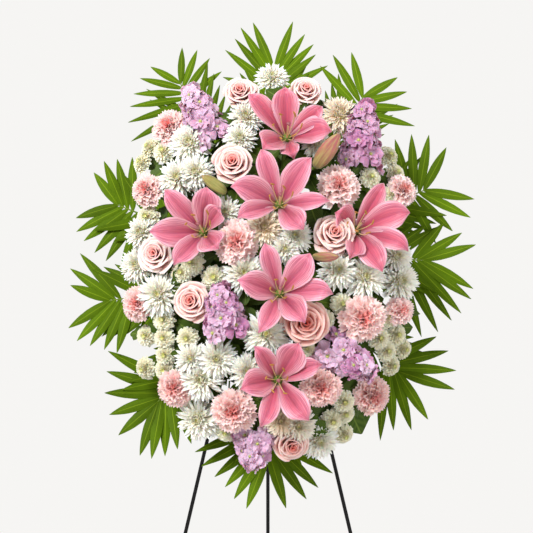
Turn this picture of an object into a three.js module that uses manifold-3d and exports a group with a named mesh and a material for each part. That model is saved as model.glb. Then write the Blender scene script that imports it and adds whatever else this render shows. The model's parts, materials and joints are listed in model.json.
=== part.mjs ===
// Standing funeral spray: fresh flowers in wet foam on a folding wire easel.
// Millimetres, +Z up, seen from -Y, origin on the floor under the middle of the box.
import * as THREE from 'three';
import { mergeVertices } from 'three/addons/utils/BufferGeometryUtils.js';
import Module from 'manifold-3d';

const wasm = await Module();
wasm.setup();

// Driving dimensions
const LEAN = THREE.MathUtils.degToRad(10.5);  // the easel's front leans back by this
const SPRAY_HEIGHT = 1200;                     // middle of the foam above the floor
const WIRE = 3.175;                            // radius of the quarter inch easel wire
const APEX = 153;                              // top of the easel above the middle of the foam
const LEG_SLOPE = 0.23;                        // each front leg's sideways run per unit of length
const STOP_BAR = 66;
const HINGE_BAR = 20;
const LOW_BAR = -640;
const HINGE_CLEARANCE = 0.45;
const LEG_SPREAD = THREE.MathUtils.degToRad(23.6);  // rear leg away from the front frame
const FLOOR_CUT = 1500;
const FOAM = { wide: 112, tall: 232, front: -85, back: -14 };
const TRAY_WALL = 2.4;
const TRAY_LIP = 15;
const GAP = 0.35;                              // left between pieces that touch
const WIRE_FLAT = WIRE * Math.cos(Math.PI / 6);   // from a six sided bar's middle to its flats
const SHELF_BAR = -(FOAM.tall / 2 + GAP + TRAY_WALL) - GAP - WIRE_FLAT;
const PRONG = 40;                              // each prong's distance from the middle
const TIE = { radius: 9.6, thick: 0.9, middle: -5.1, height: 100 };
const DOME = { wide: 250, tall: 335, deep: 150, base: -85 };
const STEM_SINK = 24;
const LEAF = { long: 58, half: 15, thick: 1.4, share: 0.66 };   // on the flowers' stems
const LEAFLET_STEP = 9;                        // between leaflets along a frond's rib
const LEAFLET_HALF = 8;
const LEAFLET_THICK = 1.6;
const ROOM = 0.5;                              // kept between neighbouring flowers
const HEAD_ROOM = 1.8;                         // a head's radius grows this many times the room

// Height of a kind of flower over the dome that the heads lie on
const LIFT = { lily: 52, bud: 26, rose: 22, carnation: 15, stock: 10, mum: 5, button: -4 };

const COLOURS = {
  wire: ['#15161a', 0.45, 0.6],
  foam: ['#27452c', 0.95, 0],
  tray: ['#1f3a24', 0.6, 0],
  tie: ['#2c4a30', 0.5, 0],
  lily: ['#e58d9b', 0.5, 0],
  rose: ['#ecb7b4', 0.6, 0],
  carnation: ['#efb4c0', 0.7, 0],
  stock: ['#cf9fbd', 0.7, 0],
  mum: ['#f1ecdf', 0.6, 0],
  button: ['#e6e3b8', 0.6, 0],
  frond: ['#4f7f1c', 0.45, 0],
};

const vec = (x, y, z) => new THREE.Vector3(x, y, z);
const OUT = vec(0, -1, 0);
const UP = vec(0, 0, 1);

// A closed geometry as a solid that can be joined and cut, and back again
function solid(geometry) {
  const plain = geometry.clone();
  plain.deleteAttribute('normal');
  plain.deleteAttribute('uv');
  const merged = mergeVertices(plain, 1e-3);
  const vertProperties = new Float32Array(merged.attributes.position.array);
  const triVerts = new Uint32Array(merged.index.array);
  return new wasm.Manifold(new wasm.Mesh({ numProp: 3, vertProperties, triVerts }));
}

function geometryOf(body) {
  const mesh = body.getMesh();
  const geometry = new THREE.BufferGeometry();
  geometry.setAttribute('position', new THREE.BufferAttribute(mesh.vertProperties, 3));
  geometry.setIndex(new THREE.BufferAttribute(mesh.triVerts, 1));
  geometry.computeVertexNormals();
  return geometry;
}

function block(wide, deep, tall, x, y, z) {
  return solid(new THREE.BoxGeometry(wide, deep, tall).translate(x, y, z));
}

const union = (bodies) => (bodies.length === 1 ? bodies[0] : wasm.Manifold.union(bodies));

// The largest connected piece of a solid, without the scraps that a cut left
function mainPiece(body) {
  const pieces = body.decompose();
  return pieces.reduce((best, piece) => (piece.volume() > best.volume() ? piece : best));
}

// A straight round bar from one point to another, with few sides
function bar(from, to, radius, sides = 6, endRadius = radius) {
  const along = to.clone().sub(from);
  const length = along.length();
  const section = new THREE.Shape(Array.from({ length: sides }, (_, i) => new THREE.Vector2(
    radius * Math.cos((i * 2 * Math.PI) / sides), radius * Math.sin((i * 2 * Math.PI) / sides))));
  const geometry = new THREE.ExtrudeGeometry(section, { depth: length, bevelEnabled: false });
  const point = geometry.attributes.position;
  for (let i = 0; i < point.count; i += 1) {
    const scale = 1 + (endRadius / radius - 1) * (point.getZ(i) / length);
    point.setXY(i, point.getX(i) * scale, point.getY(i) * scale);
  }
  geometry.applyQuaternion(new THREE.Quaternion().setFromUnitVectors(UP, along.normalize()));
  geometry.translate(...from.toArray());
  return solid(geometry);
}

// A closed skin over rings of points, each ring of the same count, with a point at both ends
function skin(bottom, rings, top) {
  const count = rings[0].length;
  const points = [bottom, ...rings.flat(), top];
  const last = points.length - 1;
  const at = (ring, i) => 1 + ring * count + (i % count);
  const faces = [];
  for (let i = 0; i < count; i += 1) {
    faces.push(0, at(0, i + 1), at(0, i));
    for (let ring = 0; ring < rings.length - 1; ring += 1) {
      faces.push(at(ring, i), at(ring, i + 1), at(ring + 1, i + 1));
      faces.push(at(ring, i), at(ring + 1, i + 1), at(ring + 1, i));
    }
    faces.push(at(rings.length - 1, i), at(rings.length - 1, i + 1), last);
  }
  const geometry = new THREE.BufferGeometry();
  geometry.setAttribute('position',
    new THREE.Float32BufferAttribute(points.flatMap((point) => point.toArray()), 3));
  geometry.setIndex(faces);
  return geometry;
}

// Layers of petals as rings whose points go out to the petal tips and in between them,
// closed underneath to one side of the stem
function rosette(petals, radius, bottom, layers, top) {
  const rings = layers.map(({ out, notch, height, drop = 0, turn = 0 }) => {
    const ring = [];
    for (let i = 0; i < petals * 2; i += 1) {
      const angle = ((i + turn) * Math.PI) / petals;
      const isTip = i % 2 === 0;
      const reach = radius * out * (isTip ? 1 : notch);
      const z = radius * (height - (isTip ? drop : 0));
      ring.push(vec(Math.cos(angle) * reach, Math.sin(angle) * reach, z));
    }
    return ring;
  });
  return skin(vec(radius * 0.24, 0, bottom * radius), rings, vec(0, 0, top * radius));
}

// A keeled blade along stations { at, half, normal, side, keel, thick }, pointed at both ends.
// With room to grow, its edges go out along their own slope.
function blade(root, stations, tip, grow) {
  const rows = stations.map(({ at, half, normal, side, keel, thick }) => {
    const middle = thick / 2 + grow * 1.2;
    const rise = (-keel * grow) / half;
    return [
      at.clone().addScaledVector(side, -half - grow).addScaledVector(normal, rise),
      at.clone().addScaledVector(normal, keel + middle),
      at.clone().addScaledVector(side, half + grow).addScaledVector(normal, rise),
      at.clone().addScaledVector(normal, keel - middle),
    ];
  });
  const points = [...rows.flat(), root, tip];
  const rootIndex = points.length - 2;
  const tipIndex = points.length - 1;
  const faces = [];
  // Each diagonal runs from an edge to the middle line, alike on both faces
  for (let row = 0; row < rows.length; row += 1) {
    for (let corner = 0; corner < 4; corner += 1) {
      const p = row * 4 + corner;
      const q = row * 4 + ((corner + 1) % 4);
      if (row === 0) faces.push(q, p, rootIndex);
      if (row === rows.length - 1) faces.push(p, q, tipIndex);
      else if (corner % 2 === 0) faces.push(p, q, q + 4, p, q + 4, p + 4);
      else faces.push(p, q, p + 4, q, q + 4, p + 4);
    }
  }
  const geometry = new THREE.BufferGeometry();
  geometry.setAttribute('position',
    new THREE.Float32BufferAttribute(points.flatMap((point) => point.toArray()), 3));
  geometry.setIndex(faces);
  return geometry;
}

// Turns a body outward when its faces came out reversed
function sound(geometry) {
  const body = solid(geometry);
  if (body.volume() > 0) return body;
  const index = geometry.index.array;
  for (let i = 0; i < index.length; i += 3) [index[i], index[i + 1]] = [index[i + 1], index[i]];
  return solid(geometry);
}

// The place of a head on the dome, and the frame that faces out of it
function domePlace(x, z, kind) {
  const inside = Math.max(0, 1 - (x / DOME.wide) ** 2 - (z / DOME.tall) ** 2);
  return vec(x, DOME.base - DOME.deep * Math.sqrt(inside) - LIFT[kind], z);
}

function facing(place, spread = 0.6) {
  const depth = DOME.base - place.y;
  const normal = vec(place.x / DOME.wide ** 2, -depth / DOME.deep ** 2, place.z / DOME.tall ** 2);
  return normal.normalize().multiplyScalar(spread).addScaledVector(OUT, 1 - spread).normalize();
}

function headFrame(place, face, spin = 0) {
  const side = UP.clone().cross(face).normalize();
  const rise = face.clone().cross(side);
  const frame = new THREE.Matrix4().makeBasis(side, rise, face).setPosition(place);
  return frame.multiply(new THREE.Matrix4().makeRotationZ(spin));
}

// Where a flower's stem goes into the foam, clear of the straps across the tray
function foamEntry(place, [shiftX, shiftZ] = [0, 0]) {
  const strap = 62;
  const keep = 9;
  const clear = (z) => {
    const off = Math.abs(z) - strap;
    if (Math.abs(off) >= keep) return z;
    return Math.sign(z) * (strap + (off < 0 ? -keep : keep));
  };
  if (place.y > FOAM.front - 28) {
    const y = -48 + (place.y - FOAM.front) * 0.3;
    if (Math.abs(place.x) / 180 > Math.abs(place.z) / 300) {
      return vec(Math.sign(place.x) * FOAM.wide / 2, y, clear(place.z * 0.31 + shiftZ));
    }
    return vec(place.x * 0.2 + shiftX, y, Math.sign(place.z) * FOAM.tall / 2);
  }
  return vec(place.x * 0.21 + shiftX, FOAM.front, clear(place.z * 0.32 + shiftZ));
}

// A stem from a head to its foam, sunk in, with a shared or direct route
function stemBars(start, entry, radius) {
  const along = entry.clone().sub(start).normalize();
  const end = entry.clone().addScaledVector(along, STEM_SINK);
  return [[start, end, radius]];
}

// A pointed leaf that leaves a stem sideways and faces the front
function stemLeaf(start, entry, turn, grow) {
  const along = start.clone().sub(entry).normalize();
  const root = entry.clone().lerp(start, LEAF.share);
  const way = UP.clone().cross(along).normalize().applyAxisAngle(along, turn)
    .addScaledVector(along, 0.35).normalize();
  const side = along.clone().cross(way).normalize();
  const normal = way.clone().cross(side).normalize();
  const at = root.clone().addScaledVector(way, LEAF.long * 0.5);
  const tip = root.clone().addScaledVector(way, LEAF.long + grow * 2).addScaledVector(along, -8);
  const station = { at, half: LEAF.half, normal, side, keel: -3, thick: LEAF.thick };
  return sound(blade(root, [station], tip, grow));
}

// Heads in their own frames, facing +Z with the stem coming in from below
const mumHead = (radius) => rosette(7, radius, -0.5, [
  { out: 1, notch: 0.7, height: -0.08, drop: 0.05 },
  { out: 0.66, notch: 0.72, height: 0.34, turn: 1 },
], 0.36);

const buttonHead = (radius) => rosette(5, radius, -0.55, [
  { out: 1, notch: 0.82, height: 0 },
  { out: 0.7, notch: 0.8, height: 0.46, turn: 1 },
], 0.44);

const carnationHead = (radius) => rosette(7, radius, -0.75, [
  { out: 1, notch: 0.78, height: 0, drop: 0.12 },
  { out: 0.78, notch: 0.8, height: 0.3, turn: 1 },
  { out: 0.45, notch: 0.72, height: 0.52, turn: 0.4 },
], 0.46);

const roseHead = (radius) => rosette(5, radius, -0.85, [
  { out: 1, notch: 0.84, height: 0.02, drop: 0.1 },
  { out: 0.82, notch: 0.86, height: 0.08 },
  { out: 0.8, notch: 0.86, height: 0.42, turn: 1 },
  { out: 0.58, notch: 0.88, height: 0.3, turn: 1 },
  { out: 0.5, notch: 0.84, height: 0.66, turn: 0 },
  { out: 0.22, notch: 0.8, height: 0.56, turn: 0 },
], 0.48);

const floretHead = (radius) => rosette(4, radius, -0.6, [
  { out: 1, notch: 0.58, height: 0, drop: 0.05 },
], 0.2);

const budHead = (length, radius) => {
  const profile = [[0.55, 0], [1, 0.35], [0.9, 0.7], [0.45, 0.93]];
  const rings = profile.map(([reach, height]) => Array.from({ length: 6 }, (_, i) => {
    const angle = (i * Math.PI) / 3;
    return vec(Math.cos(angle) * reach * radius, Math.sin(angle) * reach * radius, height * length);
  }));
  return skin(vec(0, 0, -4), rings, vec(0, 0, length));
};

// Easel front frame: two legs joined by a bend at the top, and their cross bars
function easelFront() {
  const legAt = (side, z, y = 0) => vec(side * LEG_SLOPE * (APEX - z), y, z);
  const bendDrop = 30;
  const bendFoot = legAt(1, APEX - bendDrop);
  const bend = new THREE.QuadraticBezierCurve3(
    vec(-bendFoot.x, 0, bendFoot.z), vec(0, 0, APEX + 18), bendFoot);
  const section = new THREE.Shape(Array.from({ length: 6 }, (_, i) => new THREE.Vector2(
    WIRE * Math.cos((i * Math.PI) / 3), WIRE * Math.sin((i * Math.PI) / 3))));
  const parts = [solid(new THREE.ExtrudeGeometry(section,
    { steps: 6, extrudePath: bend, bevelEnabled: false }))];
  for (const side of [-1, 1]) {
    parts.push(bar(legAt(side, -FLOOR_CUT), legAt(side, APEX - bendDrop + 1), WIRE));
  }
  for (const z of [STOP_BAR, HINGE_BAR, LOW_BAR]) {
    parts.push(bar(legAt(-1, z), legAt(1, z), WIRE));
  }
  // The shelf: a bar across the legs with two prongs that carry the tray
  parts.push(bar(legAt(-1, SHELF_BAR), legAt(1, SHELF_BAR), WIRE));
  for (const side of [-1, 1]) {
    const end = vec(side * PRONG, FOAM.front - 12, SHELF_BAR);
    parts.push(bar(vec(side * PRONG, 0, SHELF_BAR), end, WIRE));
    parts.push(bar(end.clone().setZ(SHELF_BAR - WIRE), end.clone().setZ(SHELF_BAR + 16), WIRE));
  }
  return union(parts);
}

// Easel rear leg: an eye round the hinge bar, a short end that meets the stop bar, one long leg
function easelRear() {
  const ringRadius = WIRE * 2 + HINGE_CLEARANCE;
  const eye = new THREE.TorusGeometry(ringRadius, WIRE, 6, 10);
  eye.rotateY(Math.PI / 2);
  eye.translate(0, 0, HINGE_BAR);
  const back = vec(0, ringRadius, HINGE_BAR);
  const down = vec(0, Math.sin(LEG_SPREAD), -Math.cos(LEG_SPREAD));
  return union([
    solid(eye),
    bar(vec(0, ringRadius, HINGE_BAR - 3), vec(0, ringRadius, STOP_BAR + 13), WIRE),
    bar(back.clone().addScaledVector(down, -3), back.clone().addScaledVector(down, FLOOR_CUT), WIRE),
  ]);
}

// Tray: back plate with two ribs that bear on the legs, lips round the foam, two straps in front
function tray() {
  const wide = FOAM.wide + 2 * (GAP + TRAY_WALL);
  const tall = FOAM.tall + 2 * (GAP + TRAY_WALL);
  const plateFront = FOAM.back + GAP;
  const plateBack = plateFront + TRAY_WALL;
  const lipFront = plateFront - TRAY_LIP;
  const lip = block(wide, plateBack - lipFront, tall, 0, (plateBack + lipFront) / 2, 0);
  const inside = block(FOAM.wide + 2 * GAP, 100, FOAM.tall + 2 * GAP, 0, plateFront - 50, 0);
  const strapFront = FOAM.front - GAP - 1.6;
  const strap = (z) => block(wide, plateBack - strapFront, 5, 0, (plateBack + strapFront) / 2, z)
    .subtract(block(FOAM.wide + 2 * GAP, 200, 9, 0, FOAM.front - GAP + 100, z));
  const plate = block(wide, TRAY_WALL, tall, 0, (plateFront + plateBack) / 2, 0);
  const ribDepth = -WIRE - GAP - plateBack;
  const rib = (z) => block(wide * 0.9, ribDepth + 1, 5, 0, plateBack + (ribDepth - 1) / 2, z);
  return union([lip.subtract(inside), strap(-62), strap(62), plate, rib(-90), rib(88)]);
}

// Tie: one loop of wire round the left leg and through the tray's back
function tie(grow = 0) {
  const ring = new THREE.TorusGeometry(TIE.radius, TIE.thick + grow, 5, 14);
  ring.translate(-LEG_SLOPE * (APEX - TIE.height), TIE.middle, TIE.height);
  return solid(ring);
}

function foamBlock() {
  const geometry = new THREE.BoxGeometry(FOAM.wide, FOAM.back - FOAM.front, FOAM.tall);
  geometry.translate(0, (FOAM.front + FOAM.back) / 2, 0);
  return solid(geometry);
}

// Lilies: the throat's place on the dome, its buds and its six tips, all in the spray's plane
const LILIES = [
  { at: [32, 182], tips: [[-66, 63], [-5, 73], [58, 44], [71, -3], [11, -51], [-41, -35]],
    buds: [{ at: [88, 134], way: [0.55, -0.5, 0.67], length: 70 }] },
  { at: [19, 63], tips: [[-31, 85], [51, 68], [82, -2], [38, -51], [-70, -32], [-79, 19]], buds: [] },
  { at: [-108, 19], tips: [[-60, 65], [9, 66], [34, 34], [30, -36], [-44, -62], [-82, -6]],
    buds: [{ at: [-68, 78], way: [-0.75, -0.5, 0.45], length: 50 }] },
  { at: [147, 25], tips: [[41, 74], [82, 22], [80, -41], [36, -76], [-18, -56], [-40, 20]],
    buds: [], shift: [4, 13] },
  { at: [19, -85], tips: [[-25, 79], [47, 60], [86, -5], [39, -52], [-36, -69], [-68, 16]],
    buds: [{ at: [72, -26], way: [0.9, -0.4, -0.1], length: 44 }] },
  { at: [16, -223], tips: [[-40, 55], [33, 58], [73, 25], [49, -64], [-30, -76], [-60, -16]],
    buds: [] },
];

function lily({ at, tips, buds, shift }, grow = 0) {
  const place = domePlace(...at, 'lily');
  const face = facing(place, 0.35);
  const frame = headFrame(place, face);
  const throatDepth = 56;
  const side = vec().setFromMatrixColumn(frame, 0);
  const rise = vec().setFromMatrixColumn(frame, 1);
  const heads = [];
  tips.forEach(([tipX, tipZ], index) => {
    const inner = index % 2;
    const curl = -14 + 6 * inner;
    // The tip's place across the throat that puts it at its x and z in the spray
    const dx = tipX - curl * face.x;
    const dz = tipZ - curl * face.z;
    const det = side.x * rise.z - side.z * rise.x;
    const a = (dx * rise.z - dz * rise.x) / det;
    const b = (dz * side.x - dx * side.z) / det;
    const reach = Math.hypot(a, b);
    const outward = vec(a / reach, b / reach, 0);
    const across = vec(-outward.y, outward.x, 0);
    const wide = inner ? 21 : 16.5;
    const profile = [[0.25, -0.45, wide * 0.5], [0.55, -0.06, wide], [0.82, 0.05, wide * 0.68]];
    const stations = profile.map(([out, height, half]) => ({
      at: outward.clone().multiplyScalar(out * reach).setZ(height * throatDepth - (1 - inner) * 2),
      half, side: across, keel: -half * 0.28, thick: 2.2,
      normal: vec(-outward.x * (1 - out), -outward.y * (1 - out), 0.4 + out).normalize(),
    }));
    const tip = outward.clone().multiplyScalar(reach + grow * 2).setZ(curl);
    const root = vec(0, 0, -throatDepth - 2);
    heads.push(sound(blade(root, stations, tip, grow).applyMatrix4(frame)));
  });
  const inFrame = (x, y, z) => vec(x, y, z).applyMatrix4(frame);
  // Stamens and the longer pistil, each a slim spindle that is thickest near its tip
  const spindle = (x, y, z, radius) => {
    const end = vec(x, y, z);
    const ring = Array.from({ length: 3 }, (_, i) => vec(
      x * 0.9 + radius * Math.cos((i * 2 * Math.PI) / 3),
      y * 0.9 + radius * Math.sin((i * 2 * Math.PI) / 3), z - 9));
    heads.push(sound(skin(vec(0, 0, -throatDepth), [ring], end).applyMatrix4(frame)));
  };
  for (let i = 0; i < 6; i += 1) {
    const angle = ((i + 0.5) * Math.PI) / 3;
    spindle(22 * Math.cos(angle), 22 * Math.sin(angle) - 4, 24, 2.4 + grow);
  }
  spindle(0, -3, 36, 2.6 + grow);
  heads.push(bar(inFrame(0, 0, -throatDepth - 8), inFrame(0, 0, -throatDepth + 12), 3.4 + grow, 4,
    7 + grow));
  const collar = inFrame(0, 0, -throatDepth - 4);
  const entry = foamEntry(place, shift);
  const stems = stemBars(collar, entry, 3.2);
  for (const bud of buds) {
    const root = domePlace(...bud.at, 'bud');
    const way = vec(...bud.way).normalize();
    const frameUp = headFrame(root, way);
    heads.push(sound(budHead(bud.length + grow, bud.length * 0.19 + grow).applyMatrix4(frameUp)));
    const join = collar.clone().lerp(entry, 0.55);
    stems.push([root.clone().addScaledVector(way, 2), join, 2]);
  }
  return { heads, stems };
}

// Single heads on a stem of their own: [x, z, radius of the head]
const ROSES = [[-46, 262, 27], [63, 266, 26], [-57, 130, 31], [-183, -14, 29],
  [106, 14, 32], [-123, -95, 30], [59, -132, 35], [39, -318, 28]];
const CARNATIONS = [[-165, 211, 28], [-200, 99, 26], [115, 95, 32], [224, 106, 24, [0, -18]],
  [-50, -3, 33], [-213, -89, 26], [153, -119, 34], [216, -99, 23],
  [-150, -227, 28, [0, -16]], [-56, -267, 32], [84, -231, 30], [171, -236, 29, [0, 10]]];

function single([x, z, radius, shift], kind, head, spread, stemRadius, spin, grow = 0) {
  const place = domePlace(x, z, kind);
  const face = facing(place, spread);
  const frame = headFrame(place, face, spin);
  const under = place.clone().addScaledVector(face, -0.2 * radius);
  const entry = foamEntry(place, shift);
  return {
    heads: [sound(head(radius + grow * HEAD_ROOM).applyMatrix4(frame))],
    stems: stemBars(under, entry, stemRadius),
    leaves: kind === 'rose' ? [stemLeaf(under, entry, spin * 3 + 1, grow)] : [],
  };
}

// Stock spikes: the middle of the spike, the way its tip points, its length and its florets
const STOCKS = [
  { at: [-108, 216], way: [-0.35, -0.35, 0.87], length: 96, florets: 9 },
  { at: [156, 184], way: [0.12, -0.3, 0.95], length: 104, florets: 9 },
  { at: [-70, -117], way: [-0.1, -0.5, 0.86], length: 74, florets: 9 },
  { at: [124, -182], way: [0.72, -0.45, -0.53], length: 90, florets: 9 },
  { at: [-23, -318], way: [-0.1, -0.4, -0.91], length: 60, florets: 8 },
];

function stock({ at, way, length, florets, shift }, grow = 0) {
  const middle = domePlace(...at, 'stock');
  const along = vec(...way).normalize();
  const root = middle.clone().addScaledVector(along, -length / 2);
  const tip = middle.clone().addScaledVector(along, length / 2);
  const side = along.clone().cross(OUT).normalize();
  const other = side.clone().cross(along);
  const heads = [];
  const goldenAngle = 2.4;
  const coreAt = (share) => 20 - 12 * share;
  for (let i = 0; i < florets; i += 1) {
    const share = (i + 0.5) / florets;
    const radius = 18.5 - 6 * share * share;
    const angle = i * goldenAngle;
    const face = side.clone().multiplyScalar(Math.cos(angle))
      .addScaledVector(other, Math.sin(angle)).addScaledVector(along, 0.25 + 0.5 * share).normalize();
    const place = root.clone().lerp(tip, share).addScaledVector(face, coreAt(share) + radius * 0.3);
    heads.push(sound(floretHead(radius + grow * HEAD_ROOM).applyMatrix4(headFrame(place, face, i))));
  }
  const stems = stemBars(root, foamEntry(middle, shift), 2.6);
  heads.push(bar(root.clone().addScaledVector(along, -2), tip, coreAt(0) + grow, 5, coreAt(1) + grow));
  return { heads, stems };
}

// Sprays: heads [x, z, radius] on branches that leave one stem part of the way to the foam
const MUM_SPRAYS = [
  { blooms: [[7, 297, 23], [-36, 217, 24], [-46, 179, 22]] },
  { blooms: [[120, 229, 28], [79, 171, 20]] },
  { blooms: [[-129, 176, 29], [-148, 115, 27], [-118, 122, 25]] },
  { blooms: [[-69, 49, 23], [-6, 24, 27], [43, 10, 24], [27, -12, 21], [-38, -50, 29]] },
  { blooms: [[-209, 29, 23], [-215, -24, 25], [-177, -77, 30]], shift: [0, 14] },
  { blooms: [[113, -43, 26], [156, -51, 30], [210, -10, 24], [217, -50, 28]] },
  { blooms: [[-3, -147, 31], [-34, -205, 24], [-82, -185, 27], [-124, -183, 23],
    [-108, -215, 30], [-114, -275, 30]] },
  { blooms: [[21, -281, 23], [49, -288, 24], [84, -308, 27]], shift: [9, 0] },
];
const BUTTON_SPRAYS = [
  { blooms: [[-203, 195, 17], [-175, 171, 18], [-216, 167, 17]] },
  { blooms: [[-200, 56, 19], [-125, -28, 21], [-141, -44, 18], [-87, -55, 20]], shift: [3, 4] },
  { blooms: [[-171, -117, 18], [-201, -139, 17], [-170, -146, 17], [-131, -150, 18],
    [-168, -173, 17], [-169, -196, 18], [-206, -187, 18], [-69, -296, 17]] },
  { blooms: [[120, -96, 18], [93, -121, 15], [63, -169, 13], [195, -110, 18], [182, -145, 18],
    [213, -135, 18], [196, -163, 17], [228, -152, 17], [206, -183, 17]] },
  { blooms: [[170, 122, 17], [204, 172, 18], [216, 142, 17], [207, 98, 15]] },
  { blooms: [[124, -248, 18], [105, -278, 18], [126, -266, 17], [127, -296, 17]],
    shift: [10, 0] },
];

function spray({ blooms, shift }, kind, head, stemRadius, branchShare, grow = 0) {
  const heads = [];
  const stems = [];
  const places = blooms.map(([x, z]) => domePlace(x, z, kind));
  const middle = places.reduce((sum, place) => sum.add(place), vec()).divideScalar(places.length);
  const entry = foamEntry(middle, shift);
  const branch = entry.clone().lerp(middle, branchShare);
  stems.push(...stemBars(branch, entry, stemRadius));
  const leaves = [];
  if (kind === 'mum') leaves.push(stemLeaf(places[0], branch, blooms.length + places[0].x, grow));
  blooms.forEach(([, , radius], index) => {
    const face = facing(places[index], 0.5);
    heads.push(sound(head(radius + grow * HEAD_ROOM)
      .applyMatrix4(headFrame(places[index], face, index * 0.7))));
    // The branches leave the stem one below the other, the first from its end
    const fork = branch.clone().lerp(entry, index * (0.75 / blooms.length));
    stems.push([places[index].clone().addScaledVector(face, -0.15 * radius), fork,
      stemRadius * 0.7]);
  });
  return { heads, stems, leaves };
}

// Palm fronds: layer behind the dome, foam side, end of the rib, tips on both sides
const FRONDS = [
  { name: 'top', layer: -14, end: [11, 345], base: [6, 116],
    tips: [[-26, 436], [-48, 422], [-58, 404], [-75, 384], [-79, 338], [44, 434], [65, 412],
      [80, 396], [84, 374], [105, 354]] },
  { name: 'upper_right', layer: -24, end: [166, 297], base: [56, 96],
    tips: [[146, 376], [114, 374], [91, 353], [226, 328], [242, 302], [250, 276], [255, 243]] },
  { name: 'right_upper', layer: -12, end: [272, 133], base: [56, 48],
    tips: [[310, 208], [280, 230], [250, 232], [222, 226], [358, 114], [349, 82], [318, 57],
      [290, 40]] },
  { name: 'right', layer: -22, end: [267, 8], base: [56, 14],
    tips: [[356, 31], [333, 54], [303, 72], [350, -42], [346, -64], [329, -86], [312, -100],
      [290, -116], [262, -124]] },
  { name: 'right_lower', layer: -14, end: [221, -184], base: [56, -40],
    tips: [[316, -217], [319, -182], [307, -148], [287, -125], [270, -268], [242, -284],
      [212, -284], [190, -300]] },
  { name: 'bottom', layer: -24, end: [0, -320], base: [4, -116],
    tips: [[-36, -416], [-57, -401], [-72, -380], [-90, -364], [-112, -346], [-123, -322],
      [30, -414], [64, -399], [84, -380], [109, -358]] },
  { name: 'lower_left', layer: -14, end: [-187, -235], base: [-56, -88],
    tips: [[-252, -291], [-268, -258], [-277, -222], [-274, -184], [-272, -150], [-216, -325],
      [-196, -332], [-174, -326], [-152, -317], [-130, -305]] },
  { name: 'left', layer: -24, end: [-271, -63], base: [-56, -30],
    tips: [[-338, -38], [-339, -8], [-322, 19], [-340, -112], [-324, -134], [-302, -142],
      [-278, -148], [-256, -155]] },
  { name: 'left_upper', layer: -12, end: [-261, 107], base: [-56, 30],
    tips: [[-302, 164], [-284, 182], [-262, 188], [-236, 192], [-331, 84], [-330, 60], [-317, 42],
      [-299, 24], [-279, 8], [-252, 0]] },
  { name: 'upper_left', layer: -24, end: [-153, 322], base: [-56, 100],
    tips: [[-205, 349], [-223, 328], [-234, 302], [-240, 276], [-243, 248], [-238, 218],
      [-150, 384], [-124, 382], [-102, 368], [-81, 345]] },
];

function frond({ layer, end, base, tips }, grow = 0) {
  const bowl = (x, z, extra = 0) => vec(x, layer - 26 * ((x / 330) ** 2 + (z / 430) ** 2) - extra, z);
  const heads = [];
  const rootPoint = vec(base[0], -34, base[1]);
  const elbow = bowl(base[0] + (end[0] - base[0]) * 0.5, base[1] + (end[1] - base[1]) * 0.5);
  const endPoint = bowl(...end);
  const inward = rootPoint.clone().sub(elbow).normalize();
  const stems = [
    [elbow, rootPoint.clone().addScaledVector(inward, STEM_SINK), 2.4],
    [endPoint, elbow, 1.7],
  ];
  const ribWay = vec(end[0] - elbow.x, 0, end[1] - elbow.z).normalize();
  const reach = Math.hypot(end[0] - elbow.x, end[1] - elbow.z);
  const sides = tips.map(([x, z]) => Math.sign(ribWay.x * (z - end[1]) - ribWay.z * (x - end[0])));
  const count = { '-1': 0, 1: 0 };
  // The leaflets leave the rib one behind the other on each side, those to the front first
  tips.forEach(([x, z], index) => {
    const order = count[sides[index]];
    count[sides[index]] += 1;
    const backShare = Math.min(0.92, (2 + order * LEAFLET_STEP) / reach);
    const from = endPoint.clone().lerp(elbow, backShare);
    const tip = bowl(x, z);
    const along = tip.clone().sub(from);
    along.normalize();
    const side = along.clone().cross(OUT).normalize();
    const normal = side.clone().cross(along).normalize();
    if (normal.y > 0) normal.negate();
    const station = {
      at: bowl(from.x + (x - from.x) * 0.42, from.z + (z - from.z) * 0.42),
      half: LEAFLET_HALF, side, normal, keel: LEAFLET_HALF * 0.2, thick: LEAFLET_THICK,
    };
    heads.push(sound(blade(from, [station], tip.addScaledVector(along, grow * 2), grow)));
  });
  return { heads, stems };
}

// Every node: its name, finish, heads that may be cut by a neighbour, and stems that may not
const nodes = [];

function addNode(name, finish, build) {
  const { heads, stems, leaves = [] } = build(0);
  const room = build(ROOM);
  nodes.push({
    name, finish, stems, leaves, heads: union(heads), room: union(room.heads), leafRoom: room.leaves,
  });
}

LILIES.forEach((item, i) => addNode(`lily_${i + 1}`, 'lily', (grow) => lily(item, grow)));
ROSES.forEach((item, i) => addNode(`rose_${i + 1}`, 'rose',
  (grow) => single(item, 'rose', roseHead, 0.6, 2.5, i * 1.1, grow)));
CARNATIONS.forEach((item, i) => addNode(`carnation_${i + 1}`, 'carnation',
  (grow) => single(item, 'carnation', carnationHead, 0.55, 2, i * 0.8, grow)));
STOCKS.forEach((item, i) => addNode(`stock_${i + 1}`, 'stock', (grow) => stock(item, grow)));
MUM_SPRAYS.forEach((item, i) => addNode(`mum_spray_${i + 1}`, 'mum',
  (grow) => spray(item, 'mum', mumHead, 2.4, 0.4, grow)));
BUTTON_SPRAYS.forEach((item, i) => addNode(`button_spray_${i + 1}`, 'button',
  (grow) => spray(item, 'button', buttonHead, 2.1, 0.5, grow)));
FRONDS.forEach((item) => addNode(`frond_${item.name}`, 'frond', (grow) => frond(item, grow)));

const stemSolid = (stems, grow = 0) => union(stems.map(([from, to, radius]) => {
  const along = to.clone().sub(from).normalize().multiplyScalar(grow);
  return bar(from.clone().sub(along), to.clone().add(along), radius + grow * 1.9, 3);
}));

nodes.forEach((node) => {
  node.stemBody = stemSolid(node.stems);
  node.stemRoom = stemSolid(node.stems, ROOM);
});

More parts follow.
